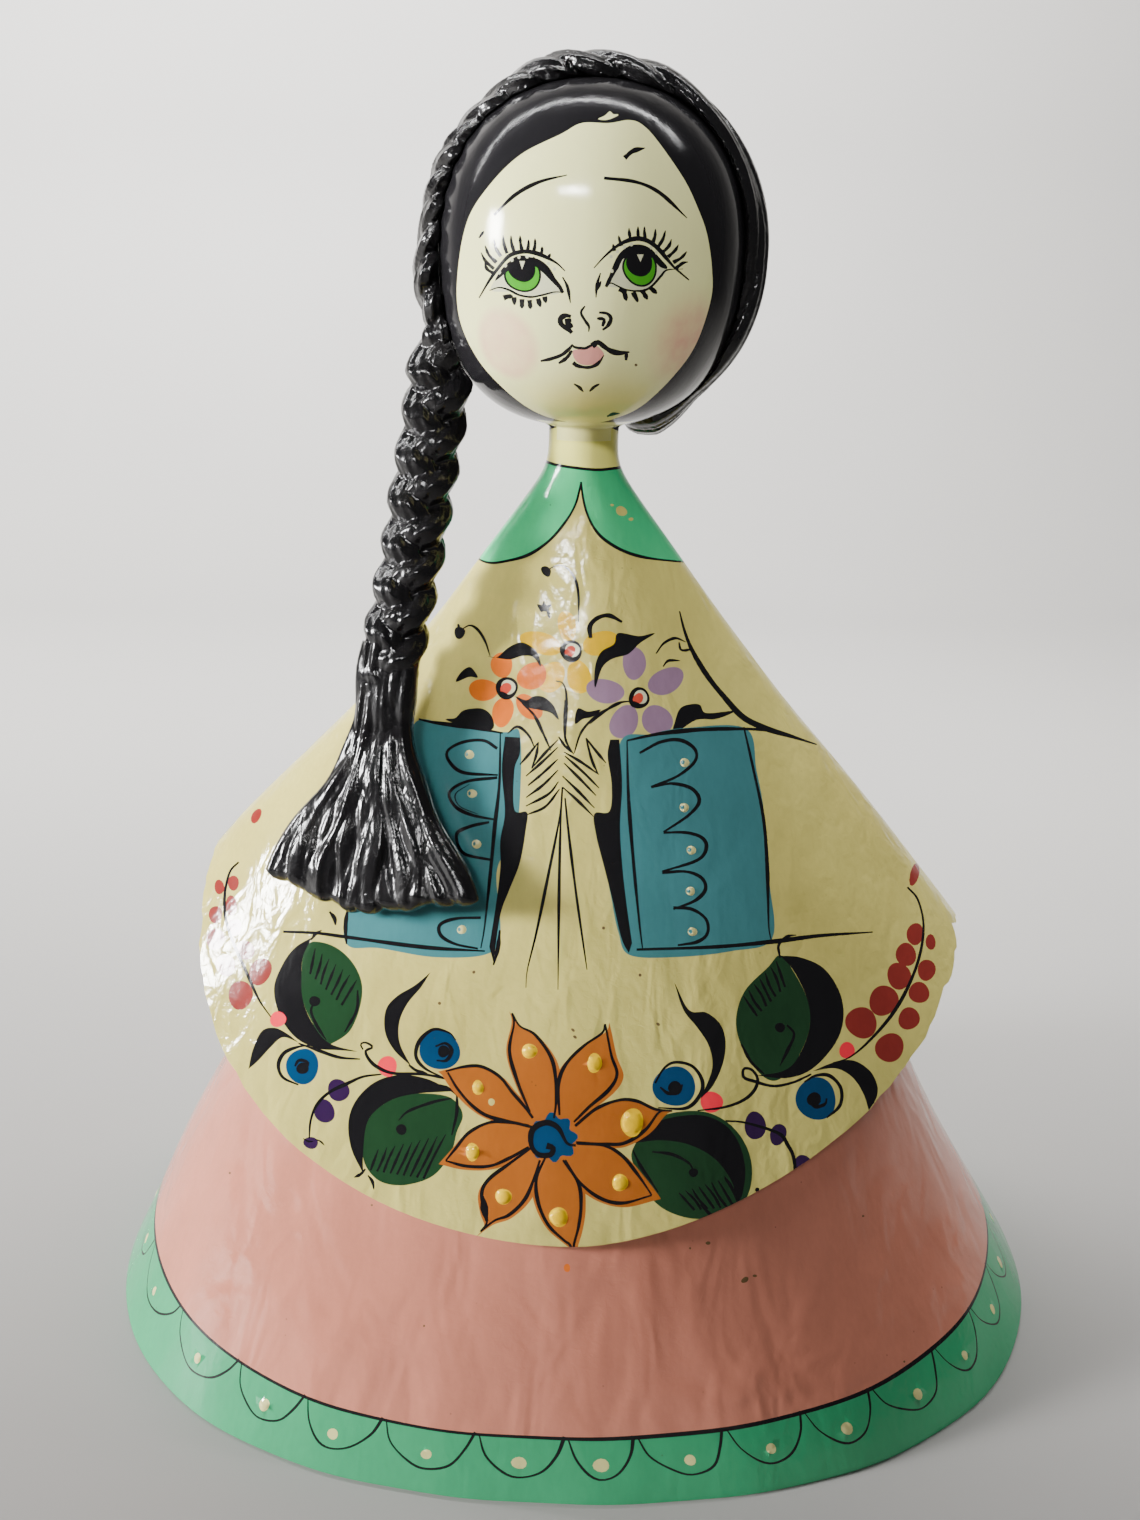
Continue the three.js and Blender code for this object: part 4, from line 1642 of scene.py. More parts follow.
@dataclass(frozen=True)
class Sleeves:
    """The two blue sleeves with their black edges, looped trim and joined hands."""

    sheet: PaintedSheet
    left_panel: Line = (
        (416, 722), (450, 725), (503.5, 732), (520, 734), (519.5, 808), (512, 840), (497, 872), (500.5, 933),
        (487, 954), (436, 957), (380, 948), (348, 945), (347, 912), (372, 840), (400, 770),
    )
    right_panel: Line = (
        (621, 740.5), (650, 734), (683, 728), (745, 728.5), (756, 770), (764.5, 818), (769, 880),
        (772, 938.5), (731, 951), (674.5, 957), (629.5, 955), (618.5, 933), (612, 902), (606, 860),
        (612, 800),
    )
    left_band: tuple[Line, Line] = (
        ((505, 736.5), (502, 770), (505, 812), (500.5, 840), (500.5, 868.5), (496, 905), (489, 949)),
        ((520, 735), (520, 753.5), (514.5, 770), (514.5, 809.5), (527, 812), (526, 829), (520, 862.5),
         (509, 891), (500.5, 915), (493.5, 962)),
    )
    right_band: tuple[Line, Line] = (
        ((610, 739.5), (607.5, 756), (611.5, 784), (609.5, 811), (594.5, 813.5), (596, 834.5),
         (604.5, 868.5), (613, 902), (621.5, 938.5), (630, 955)),
        ((619, 737), (622, 784), (620, 826.5), (622.5, 868.5), (627, 907.5), (632, 943)),
    )
    seams: Lines = (
        ((500.5, 733.5), (499.5, 784), (495, 826), (491, 868.5), (485, 924.5), (481, 948)),
        ((627, 740.5), (628.5, 798), (634, 868.5), (639.5, 924.5), (642.5, 948.5)),
        ((743, 727), (753, 770), (763, 818), (767, 868.5), (768.5, 924.5), (771.5, 941.5)),
    )
    edges: Lines = (
        ((419, 719), (432, 722), (450, 724.5), (475, 728), (503, 733)),
        ((284, 931.5), (317.5, 933), (351.5, 937.5), (425, 947), (485, 951)),
        ((500, 930), (498, 948), (493.5, 965)),
        ((627, 740.5), (660.5, 733.5), (702.5, 729.5), (747.5, 729), (770, 731)),
        ((636.5, 949.5), (716.5, 946.5), (773, 941.5), (820, 935.5), (872, 932)),
        ((330, 911.5), (335, 918), (336, 925)),
        ((349, 905), (346, 925), (347, 944)),
    )
    loops: Lines = (
        ((497.5, 748.5), (484, 740.5), (464, 742), (448.5, 750.5), (450, 761.5), (464, 772.5), (498, 775)),
        ((497.5, 777.5), (467, 781.5), (450, 792.5), (456, 806.5), (472.5, 815), (495, 819.5)),
        ((489.5, 822), (470, 826.5), (457, 834.5), (464, 853), (492, 860)),
        ((481, 917.5), (456, 918.5), (440.5, 924.5), (441.5, 935.5), (456, 944), (478, 948.5)),
        ((639.5, 753), (660.5, 742), (680, 740), (694.5, 749), (694.5, 761.5), (677.5, 776), (651, 787)),
        ((651, 787), (672, 783.5), (691.5, 788.5), (699, 801), (688.5, 815), (663.5, 832)),
        ((663.5, 832.5), (686, 832.5), (701.5, 837.5), (706, 847.5), (697, 860), (662, 871.5)),
        ((662, 872.5), (686, 871.5), (701.5, 878), (705, 889.5), (694.5, 900.5), (673, 909)),
        ((673, 907.5), (691.5, 909), (705.5, 919), (707, 933), (697, 941.5), (677.5, 945)),
    )
    faint: Lines = (((470, 784), (456, 794), (460, 806), (478, 814)),)
    dots: Line = (
        (470, 754.5), (472.5, 793.5), (477, 844), (462, 929.5), (684.5, 762.5), (684, 807.5), (691, 850),
        (690, 891), (692, 931.5),
    )
    hands: Lines = (
        ((507.5, 733.5), (517.5, 726.5), (528.5, 735), (534.5, 747.5)),
        ((520, 764.5), (529, 754), (538.5, 742)), ((538.5, 742), (536, 756), (531.5, 768.5)),
        ((531.5, 768.5), (545, 753), (558, 739.5)), ((526, 776), (541, 763), (558, 747)),
        ((528, 785.5), (543, 773), (558, 759)), ((526, 797.5), (543, 785), (558, 770)),
        ((526, 806), (548.5, 794), (558.5, 781.5)), ((527.5, 814.5), (545.5, 806.5), (559.5, 789)),
        ((558.5, 736.5), (565, 746), (573.5, 753.5)), ((586, 738), (592, 760.5), (598.5, 774.5)),
        ((586, 738), (596, 751), (606, 763)), ((564, 752), (581, 762), (599, 774.5)),
        ((565, 756), (583, 772), (599, 788)), ((564, 763), (580, 779), (596, 795.5)),
        ((562.5, 776), (578, 791), (594.5, 808)), ((562.5, 787), (578, 801), (593.5, 816.5)),
    )
    stalks: Lines = (
        ((533, 714), (543, 733), (551, 751)), ((565, 700), (565, 736.5), (573.5, 754.5)),
        ((621, 703), (599, 714), (582, 731), (574, 753.5)),
        ((562.5, 787), (559.5, 818), (548.5, 874), (537, 930), (527.5, 969.5), (526, 987.5)),
        ((562.5, 787), (560.5, 826), (559, 896.5), (558, 989.5)),
        ((565, 798), (569.5, 840.5), (576.5, 896.5), (587, 969.5)),
    )
    dot_half: Point = (4.8, 4.4)
    dot_height: float = 0.35
    # painted shade: a blue spot over part of each raised dot, leaving a cream crescent
    dot_shade_shift: Point = (-2.2, -0.4)
    dot_shade_half: Point = (1.8, 2.1)
    specks: Line = ((474, 972), (603.5, 928), (440, 1003), (640, 975))
    speck_radius: float = 1.6

    def paint(self) -> None:
        """Paints the sleeves and hands."""
        sheet = self.sheet
        sheet.fill(Paint.BLUE, outline(self.left_panel), outline(self.right_panel))
        sheet.fill(Paint.BLACK, leaf(*self.left_band), leaf(*self.right_band))
        sheet.line(self.loops, width=0.9, start=0.8, end=0.6)
        sheet.line(self.faint, width=0.3)
        sheet.line(self.seams, width=0.95)
        sheet.line(self.edges, width=1.1, start=0.5, end=0.4)
        for x, y in self.dots:
            sheet.dab(Paint.SPOT, spot(x, y, *self.dot_half), self.dot_height)
            # painted shade on the raised dot, in the sleeve's blue
            sheet.fill(Paint.BLUE, spot(x + self.dot_shade_shift[0], y + self.dot_shade_shift[1], *self.dot_shade_half))
        sheet.line(self.hands, width=0.78)
        sheet.line(self.stalks, width=0.78, start=0.6, end=0.25)
        sheet.fill(Paint.GRIME, *[spot(*place, self.speck_radius) for place in self.specks])


@dataclass(frozen=True)
class BigFlower:
    """The eight-petalled orange flower at the front of the cape's edge."""

    sheet: PaintedSheet
    middle: Point = (553, 1138)
    disc: float = 22.5
    heart: float = 33.0
    overfill: Point = (1.2, 1.08)
    fill_shift: Point = (1.0, 2.0)
    spiral: Lines = (
        ((576, 1145.5), (567, 1143), (558, 1127.5), (545.5, 1122.5), (532.5, 1130), (531.5, 1145.5),
         (539, 1154.5), (550.5, 1154.5), (553, 1148), (546.5, 1145.5)),
    )
    petals: tuple[tuple[Line, Line], ...] = (
        (((512, 1013), (514, 1024), (509.5, 1051), (517.5, 1081.5), (530, 1112)),
         ((512, 1013), (520, 1026), (535, 1034.5), (550.5, 1056), (555.5, 1076.5), (556, 1102),
          (554, 1118))),
        (((605, 1024), (602, 1033), (583.5, 1046), (566, 1064), (558.5, 1084), (559.5, 1115)),
         ((605, 1024), (607, 1033), (611.5, 1056), (617, 1074), (609, 1089.5), (589, 1107), (574, 1122))),
        (((672, 1110.5), (655, 1109), (637, 1101), (619.5, 1100), (596.5, 1108.5), (575, 1126)),
         ((670, 1110.5), (659, 1112), (645, 1130), (624.5, 1143), (604, 1144), (576, 1142.5))),
        (((651.5, 1195), (648.5, 1190), (637, 1173.5), (622, 1155.5), (604, 1145.5), (577, 1143.5)),
         ((651.5, 1195), (622, 1203), (599, 1197.5), (578.5, 1181), (565, 1160))),
        (((573.5, 1262), (570.5, 1246), (563.5, 1240), (548, 1224.5), (538, 1201.5), (536.5, 1178.5),
          (545, 1158)),
         ((573.5, 1262), (574, 1245), (578.5, 1227), (581, 1206.5), (578.5, 1183.5), (563, 1160))),
        (((480.5, 1231.5), (487, 1222), (483.5, 1209), (482, 1191.5), (489.5, 1178.5), (509.5, 1163.5),
          (532, 1147)),
         ((480.5, 1231.5), (494.5, 1220.5), (509.5, 1214.5), (525, 1199), (534, 1178.5), (540, 1160))),
        (((446, 1160.5), (456, 1148), (469, 1132.5), (489.5, 1122.5), (512, 1122.5), (532, 1127)),
         ((446, 1160.5), (466.5, 1166), (489.5, 1166), (509.5, 1158), (529, 1147))),
        (((446, 1071), (464, 1066.5), (481.5, 1066.5), (499.5, 1076.5), (512, 1092), (525, 1107),
          (533, 1118)),
         ((448, 1072), (458.5, 1089.5), (474, 1107), (492, 1117.5), (529, 1125.5))),
    )
    dabs: tuple[Spot, ...] = (
        (529.5, 1051, 7.7, 7.7), (594.5, 1063, 7.5, 9.7), (632, 1122.5, 11.5, 14), (620, 1182.5, 8.4, 8.4),
        (558.5, 1217, 9.7, 9.7), (503.5, 1196.5, 8.2, 8.2), (472.5, 1152, 6.4, 9.7),
        (478, 1087.5, 5.6, 7.7),
    )
    thick_edge: Lines = (((487, 1221), (484.5, 1209), (483, 1196)),)
    dab_height: float = 0.65
    chip: Spot = (491.5, 1102, 3.2, 3.8)
    specks: Line = ((575, 1037), (658, 1024), (573, 1030))

    def paint(self) -> None:
        """Paints the flower."""
        sheet = self.sheet
        sheet.fill(Paint.ORANGE, spot(*self.middle, self.heart))
        for left, right in self.petals:
            shape = leaf(left, right)
            middle = shape.mean(0)
            sheet.fill(Paint.ORANGE, middle + (shape - middle) * self.overfill + np.array(self.fill_shift))
        turn = full_turn(48)
        reach = self.disc * (1 + 0.13 * np.cos(8 * turn + 0.6) + 0.04 * np.sin(3 * turn))
        around = np.stack([np.cos(turn), np.sin(turn)], 1)
        sheet.fill(Paint.DEEP_BLUE, np.array(self.middle) + reach[:, None] * around)
        for pair in self.petals:
            sheet.line(pair, width=0.95, start=0.5, end=0.7)
        sheet.line(self.thick_edge, width=1.9)
        sheet.line(self.spiral, width=1.5, start=0.5, end=1.1)
        for x, y, wide, tall in self.dabs:
            sheet.dab(Paint.YELLOW, spot(x, y, wide, tall), self.dab_height)
        sheet.spots(Paint.CREAM, (self.chip,))
        sheet.fill(Paint.GRIME, *[spot(*place, 2.2, 1.4, 40) for place in self.specks])


@dataclass(frozen=True)
class Leaf:
    """One dark green leaf with its black shadow, vein and hatching."""

    body: Line
    shadow_outer: Line
    shadow_inner: Line
    lines: Lines
    blob: Spot
    hatch_from: tuple[Point, Point]
    hatch_to: tuple[Point, Point]
    hatches: int

    def draw(self, sheet: PaintedSheet) -> None:
        """Draws the leaf on a sheet.

        Args:
            sheet: The sheet.
        """
        sheet.fill(Paint.LEAF, outline(self.body))
        sheet.fill(Paint.BLACK, leaf(self.shadow_outer, self.shadow_inner), spot(*self.blob))
        sheet.line(self.lines, width=0.85)
        share = np.linspace(0, 1, self.hatches)[:, None]
        starts = mix(np.array(self.hatch_from[0]), np.array(self.hatch_from[1]), share)
        ends = mix(np.array(self.hatch_to[0]), np.array(self.hatch_to[1]), share)
        for number, (start, end) in enumerate(zip(starts, ends)):
            bend = (start + end) / 2 + np.array([1.2, -0.8]) * math.sin(number * 2.1)
            sheet.line(((tuple(start), tuple(bend), tuple(end)),), 0.7, start=0.3, end=0.8)


@dataclass(frozen=True)
class Garland:
    """The leaves, curls and berries along the cape's lower edge on both sides."""

    sheet: PaintedSheet
    leaves: tuple[Leaf, ...] = (
        Leaf(
            body=((632.5, 1149.5), (652, 1121.5), (674.5, 1112), (702.5, 1111), (725, 1120.5), (742, 1138.5),
                  (751, 1161), (750.5, 1186), (740.5, 1206), (719.5, 1215.5), (691.5, 1218), (663.5, 1208.5),
                  (644, 1189), (634, 1166.5)),
            shadow_outer=((634, 1143), (652, 1124.5), (674.5, 1116.5), (702.5, 1115), (725, 1125),
                          (739, 1144), (745, 1169.5), (742, 1194.5), (736.5, 1203)),
            shadow_inner=((634, 1143), (660.5, 1140), (688.5, 1144), (714, 1158), (731, 1180.5),
                          (736.5, 1203)),
            lines=(((652, 1151.5), (672, 1154), (688.5, 1162.5), (693, 1171)),
                   ((632.5, 1149.5), (640, 1165), (650, 1180), (658, 1192)),
                   ((736.5, 1200), (733, 1190), (724, 1176)),
                   ((733, 1203), (742, 1208), (752, 1210), (761.5, 1206), (767.5, 1196)),
                   ((700, 1204), (712, 1216), (718, 1219))),
            blob=(693, 1172, 4.6),
            hatch_from=((678.4, 1192), (724.2, 1177.9)),
            hatch_to=((694.2, 1209.5), (740, 1206.3)),
            hatches=8,
        ),
        Leaf(
            body=((780, 955), (767.5, 967.5), (745, 990), (736, 1015), (738, 1037.5), (750.5, 1062.5),
                  (767, 1079), (781.5, 1078), (798, 1057), (809.5, 1026.5), (806.5, 998), (792.5, 970)),
            shadow_outer=((780, 955.5), (801, 957.5), (823.5, 968.5), (839, 992.5), (842.5, 1018),
                          (834.5, 1043), (812, 1068.5), (787, 1078), (756, 1075.5)),
            shadow_inner=((780, 955.5), (793, 970), (806.5, 998), (809.5, 1026.5), (798, 1057), (783, 1071),
                          (756, 1075.5)),
            lines=(((787, 1025), (794, 1034.5), (787, 1051.5), (780, 1065.5)),
                   ((741, 1044), (751, 1062), (764, 1074)),
                   ((780, 958), (778.5, 945), (787, 936.5), (796, 935))),
            blob=(780, 1027.5, 5),
            hatch_from=((776, 961), (743, 996)),
            hatch_to=((785, 987), (757, 1016)),
            hatches=7,
        ),
        Leaf(
            body=((311.5, 942), (333, 945.5), (351.5, 960.5), (362, 982), (360.5, 1006.5), (350, 1031),
                  (333, 1043), (327, 1043), (314.5, 1025), (304, 1000.5), (302.5, 976), (304, 956)),
            shadow_outer=((313, 937), (296.5, 947), (284, 963.5), (275, 988), (281, 1015.5), (296.5, 1037),
                          (317.5, 1048), (339, 1050), (358, 1051.5)),
            shadow_inner=((313, 937), (304, 956), (302.5, 976), (304, 1000.5), (314.5, 1025), (330, 1043),
                          (358, 1051.5)),
            lines=(((315.5, 1001), (312, 1011), (318, 1026), (327, 1040)),
                   ((312, 940), (316, 934), (322.5, 930)),
                   ((358, 990), (357, 1010), (345, 1032))),
            blob=(315.5, 1001, 5.4),
            hatch_from=((316, 948), (357, 980)),
            hatch_to=((311, 974), (342, 1005)),
            hatches=7,
        ),
        Leaf(
            body=((366.5, 1126), (376, 1110.5), (394.5, 1098.5), (419, 1093), (446.5, 1095.5),
                  (458.5, 1104.5), (463, 1116.5), (457, 1132), (451, 1153.5), (434, 1175), (409.5, 1184),
                  (388, 1183.5), (373, 1175), (363.5, 1156.5)),
            shadow_outer=((364, 1174), (351.5, 1147.5), (349, 1120), (357.5, 1098.5), (376, 1081.5),
                          (400.5, 1074.5), (428, 1078.5), (452, 1091)),
            shadow_inner=((364, 1174), (363.5, 1156.5), (366.5, 1126), (376, 1110.5), (394.5, 1098.5),
                          (419, 1093), (452, 1091)),
            lines=(((452, 1098), (434, 1101.5), (409.5, 1110.5), (399, 1120)),
                   ((457, 1090), (457, 1112), (452, 1135)),
                   ((366, 1168.5), (361, 1174), (354.5, 1177)),
                   ((368.5, 1175), (373, 1181), (374.5, 1189)),
                   ((460, 1097), (452, 1090), (440, 1084))),
            blob=(402, 1129, 5.4),
            hatch_from=((379, 1149), (446, 1134)),
            hatch_to=((371, 1170), (424, 1178)),
            hatches=9,
        ),
    )
    dark_leaves: tuple[tuple[Line, Line], ...] = (
        (((674, 982), (683, 1009.5), (697, 1027.5), (708.5, 1046), (711.5, 1068.5), (700, 1098)),
         ((674, 982), (688.5, 1009.5), (705.5, 1012), (719.5, 1023.5), (725, 1040.5), (722.5, 1062.5),
          (712.5, 1085), (700, 1098))),
        (((812, 1071), (832, 1062.5), (851.5, 1060), (868.5, 1070), (876.5, 1085), (875.5, 1098),
          (868, 1110)),
         ((812, 1071), (834.5, 1068), (851.5, 1077), (862.5, 1093.5), (868, 1110))),
        (((431, 972), (415.5, 985), (397.5, 996), (386.5, 1009.5), (385.5, 1031), (394.5, 1049.5),
          (412, 1066)),
         ((431, 972), (422, 986.5), (408, 1003.5), (400, 1022), (400.5, 1043), (412, 1066))),
        (((249, 1069), (253.5, 1049.5), (262.5, 1031), (275, 1027.5), (287, 1032.5), (299.5, 1042)),
         ((249, 1069), (259.5, 1060), (272, 1046.5), (284, 1037), (299.5, 1042))),
    )
    vines: Lines = (
        ((907, 887), (917.5, 900), (923, 925.5), (919, 956), (907.5, 987), (891, 1015), (868.5, 1040.5),
         (848.5, 1057), (832, 1062.5)),
        ((811, 1074), (792.5, 1082.5), (773, 1086), (753.5, 1081), (743.5, 1077), (743.5, 1068.5),
         (752, 1070), (757.5, 1079.5), (753.5, 1091), (742, 1100.5), (722.5, 1107), (697, 1110)),
        ((239.5, 862), (230.5, 872), (225.5, 893.5), (226, 917.5), (233.5, 942), (246, 970), (259.5, 999),
         (272, 1017)),
        ((299.5, 1043), (317.5, 1049.5), (339, 1057), (360.5, 1059)),
        ((363.5, 1049.5), (361, 1044), (366.5, 1042.5), (373, 1047), (366, 1051), (370, 1060), (379, 1067.5),
         (394.5, 1073), (425, 1074), (460, 1081.5)),
        ((409.5, 1064.5), (417, 1070), (428, 1073)),
        ((725, 1120.5), (745, 1122.5), (778, 1133), (787, 1144), (794, 1161), (794.5, 1199)),
        ((382, 1074), (363.5, 1076.5), (348.5, 1083), (330, 1092), (317.5, 1104.5), (311.5, 1120),
         (310, 1138)),
    )
    curls: tuple[Spot, ...] = (
        (674, 1086, 20.5, 20.5), (815.5, 1098.5, 20.5, 20.5), (303.5, 1066, 15.5, 18.5),
        (440, 1049.5, 20, 20),
    )
    rings: Lines = (
        ((655, 1083), (663.5, 1068.5), (674.5, 1062), (691.5, 1065.5), (701.5, 1079.5), (700, 1093.5),
         (686, 1107.5), (658, 1107.5)),
        ((804, 1082), (815, 1075.5), (829, 1075.5), (840, 1088), (839, 1105), (826, 1117.5)),
        ((312, 1045), (299.5, 1046.5), (285.5, 1052.5), (279.5, 1064.5), (284, 1077), (299.5, 1084.5)),
        ((456, 1040), (449.5, 1032.5), (434, 1029), (420.5, 1040), (416.5, 1055.5), (425, 1067.5),
         (443, 1077)),
        ((660, 1087), (668, 1093), (678, 1092), (682, 1084)),
        ((808, 1096), (814, 1106), (824, 1104), (826, 1098)),
        ((296, 1066), (300, 1060), (308, 1062), (307, 1070)),
        ((436, 1046), (446, 1043), (452, 1050), (447, 1060), (437, 1060)),
    )
    blobs: tuple[Spot, ...] = ((674.5, 1087, 6.6), (813.5, 1099, 7), (303.5, 1068, 6), (444, 1051, 6))
    rose_dots: tuple[Spot, ...] = ((711, 1101.5, 11), (846, 1050, 8), (388, 1066, 10), (279, 1019, 8))
    plums: tuple[Spot, ...] = (
        (755, 1125.5, 10.5, 14.5, 0), (778, 1134.5, 8.4, 10.7, 20), (802.5, 1163, 8.4, 8.2, -30),
        (339, 1090, 11.5, 10.5, 30), (325, 1111, 10.5, 11.5, -20), (311.5, 1142.5, 7.5, 6, 20),
    )
    berries: tuple[Spot, ...] = (
        (914, 874.5, 4.5, 12, 12), (914.5, 934, 8.4, 11, 0), (930, 942, 5, 8, 0), (905.5, 954.5, 10, 12, 0),
        (898.5, 976, 12, 13.5, 0), (926, 970, 8.7, 11, 0), (918.5, 992.5, 10, 11, 0),
        (883, 1000.5, 15, 15, 0), (908.5, 1018.5, 11, 11, 0), (860.5, 1022.5, 16, 15.5, 0),
        (889, 1047.5, 14.5, 14.5, 0), (257, 816, 4.5, 8, 30), (220, 887, 5, 7.5, 0), (234, 883, 5.5, 8, 0),
        (216, 914.5, 6.5, 9, 0), (232, 905.5, 6, 10, 0), (216, 939, 9, 11, 0), (235, 927, 7, 9, 0),
        (246, 950, 9, 10, 0), (226, 965, 10, 11, 0), (261, 971.5, 11, 14, 20), (241, 995, 12, 15, 0),
    )
    ticks: Lines = (((316, 1139), (321, 1141), (325, 1145)), ((304, 1138), (309, 1141), (314, 1141)))
    speck: Spot = (757, 1189.5, 2.2)

    def paint(self) -> None:
        """Paints the garland."""
        sheet = self.sheet
        for shape in self.leaves:
            shape.draw(sheet)
        sheet.spots(Paint.BERRY, self.berries)
        sheet.spots(Paint.ROSE, self.rose_dots)
        sheet.spots(Paint.DEEP_BLUE, self.curls)
        sheet.fill(Paint.BLACK, *[leaf(*pair) for pair in self.dark_leaves])
        sheet.spots(Paint.BLACK, self.blobs)
        sheet.spots(Paint.PURPLE, self.plums)
        sheet.line(self.vines, width=0.9, start=0.5, end=0.35)
        sheet.line(self.rings, width=1.0, start=0.4, end=0.4)
        sheet.line(self.ticks, width=0.5)
        sheet.spots(Paint.BLACK, (self.speck,))


def paint_figure(sheet: PaintedSheet) -> None:
    """Paints everything on the cape, neck and head, each mark over the ones before it."""
    for motif in (Collar, Face, Bouquet, Sleeves, Garland, BigFlower):
        motif(sheet).paint()


@dataclass
class Tubes:
    """Closed tubes gathered for one modelled piece, melted together at the end."""

    points: list[Array] = field(default_factory=list)
    faces: list[Array] = field(default_factory=list)
    count: int = 0

    def add(self, rings: Array) -> None:
        """Adds one tube, closed at both ends, from rings of points that turn the same way.

        Args:
            rings: The points, by ring and turn.
        """
        rows, sides = rings.shape[:2]
        ends = np.stack([rings[0].mean(0), rings[-1].mean(0)])
        self.points.append(np.vstack([rings.reshape(-1, 3), ends]))
        row, side = np.meshgrid(np.arange(rows - 1), np.arange(sides), indexing="ij")
        a, b = row * sides + side, row * sides + (side + 1) % sides
        walls = np.stack([a, b, b + sides, a + sides], -1).reshape(-1, 4)
        edge = np.arange(sides)
        turned = (edge + 1) % sides
        first, last = rows * sides, rows * sides + 1
        low = np.stack([np.full(sides, first), turned, edge], -1)
        high = np.stack([np.full(sides, last), edge + (rows - 1) * sides, turned + (rows - 1) * sides], -1)
        for block in (walls, low, high):
            self.faces.append(block + self.count)
        self.count += rows * sides + 2

    def melt(self, name: str, voxel: float, soften: int) -> bpy.types.Object:
        """Melts the tubes into one skin.

        Args:
            name: The piece's name.
            voxel: Fineness of the skin in millimetres.
            soften: Rounds of smoothing.

        Returns:
            The object with a plain mesh.
        """
        mesh = bpy.data.meshes.new(name)
        faces = [tuple(face) for block in self.faces for face in block.tolist()]
        mesh.from_pydata((np.vstack(self.points) * MM).tolist(), [], faces)
        made = linked(name, mesh)
        remesh = made.modifiers.new("melt", "REMESH")
        remesh.mode = "VOXEL"
        remesh.voxel_size = voxel * MM
        settle = made.modifiers.new("settle", "SMOOTH")
        settle.factor = 0.5
        settle.iterations = soften
        graph = bpy.context.evaluated_depsgraph_get()
        skin = bpy.data.meshes.new_from_object(made.evaluated_get(graph))
        made.modifiers.clear()
        made.data = skin
        bpy.data.meshes.remove(mesh)
        skin.polygons.foreach_set("use_smooth", [True] * len(skin.polygons))
        return made


@dataclass
class HairRoll:
    """The roll of hair that frames the head, twisted on the left and combed on the right."""

    form: FigureForm
    middle_x: float = -1.0
    middle_height: float = 312.0
    reach: float = 41.0
    crown_lift: float = 2.3
    left_dip: float = 1.6
    back: float = 1.5
    nape_back: float = 14.0
    nape_sweep: float = 1.4
    nape_start: float = 0.55
    nape_reach: float = 1.2
    nape_swell: float = 0.35
    half_thickness: float = 5.0
    half_depth: float = 13.0
    nape_half_depth: float = 10.5
    start_angle: float = -1.32
    end_angle: float = 3.66
    start_size: float = 0.2
    end_size: float = 0.95
    start_taper: float = 0.035
    end_taper: float = 0.1
    strands: int = 4
    steps: int = 420
    sides: int = 40
    gap: float = 0.25
    voxel: float = 0.5

    def line(self, angle: Array) -> Array:
        """Middle of the roll at an angle up from the viewer's right.

        Args:
            angle: The angle.

        Returns:
            The place.
        """
        lifted = self.crown_lift * np.maximum(np.sin(angle), 0)
        dipped = self.left_dip * smooth(2 * np.sin(angle - 1.6) - 0.4)
        dipped = dipped * (1 - smooth((angle - 2.95) / 0.3))
        reach = self.reach + lifted - dipped + self.nape_reach * self.swell(angle)
        low = self.low(angle)
        x, z = self.middle_x + reach * np.cos(angle), self.middle_height + reach * np.sin(angle)
        return np.stack([x, self.back + self.nape_back * low, z], -1)

    def low(self, angle: Array) -> Array:
        """1 at the nape and 0 above it."""
        return smooth(-np.sin(angle) * self.nape_sweep - self.nape_start)

    def swell(self, angle: Array) -> Array:
        """1 at the thick lower end on the viewer's right and 0 elsewhere."""
        return smooth(2.4 * self.low(angle) - 1.1) * (np.cos(angle) > 0)

    def strand(self, number: int) -> Array:
        """Rings of one strand.

        Args:
            number: Which strand.

        Returns:
            The rings, clear of the head.
        """
        share = np.linspace(0, 1, self.steps)[:, None]
        angle = mix(self.start_angle, self.end_angle, share)
        size = np.minimum(
            mix(self.start_size, 1, np.sqrt(np.clip(share / self.start_taper, 0.001, 1))),
            mix(self.end_size, 1, smooth((1 - share) / self.end_taper)),
        )
        wound = 0.6 * share + 3.4 * smooth((share - 0.42) / 0.75)
        phase = 2 * math.pi * (number / self.strands + wound)
        turn = full_turn(self.sides)
        hairs = 1 + 0.06 * np.cos(9 * turn + 3 * number + 8 * share) + 0.045 * np.cos(17 * turn + 22 * share)
        lumps = 1 + 0.09 * np.sin(83 * share + 2.1 * number) * smooth((share - 0.4) * 3)
        half_depth = mix(self.half_depth, self.nape_half_depth, self.low(angle))
        half_thickness = self.half_thickness * (1 + self.nape_swell * self.swell(angle))
        thick = (0.4 * np.cos(phase) + 0.66 * np.cos(turn) * hairs * lumps) * half_thickness * size
        deep = (0.56 * np.sin(phase) + 0.5 * np.sin(turn) * hairs * lumps) * half_depth * size
        out = np.stack([np.cos(angle), np.zeros_like(angle), np.sin(angle)], -1)
        points = self.line(angle) + out * thick[..., None] + np.array([0, 1.0, 0]) * deep[..., None]
        outward = np.broadcast_to(out, points.shape)
        return self.form.seated(points.reshape(-1, 3), outward.reshape(-1, 3), self.gap).reshape(points.shape)

    def build(self) -> bpy.types.Object:
        """Models and lacquers the roll."""
        tubes = Tubes()
        for number in range(self.strands):
            tubes.add(self.strand(number))
        made = tubes.melt("lacquered_hair_roll", self.voxel, 1)
        made.data.materials.append(LacquerFinish().material("roll_lacquer"))
        return dressed(made, "hair_roll")


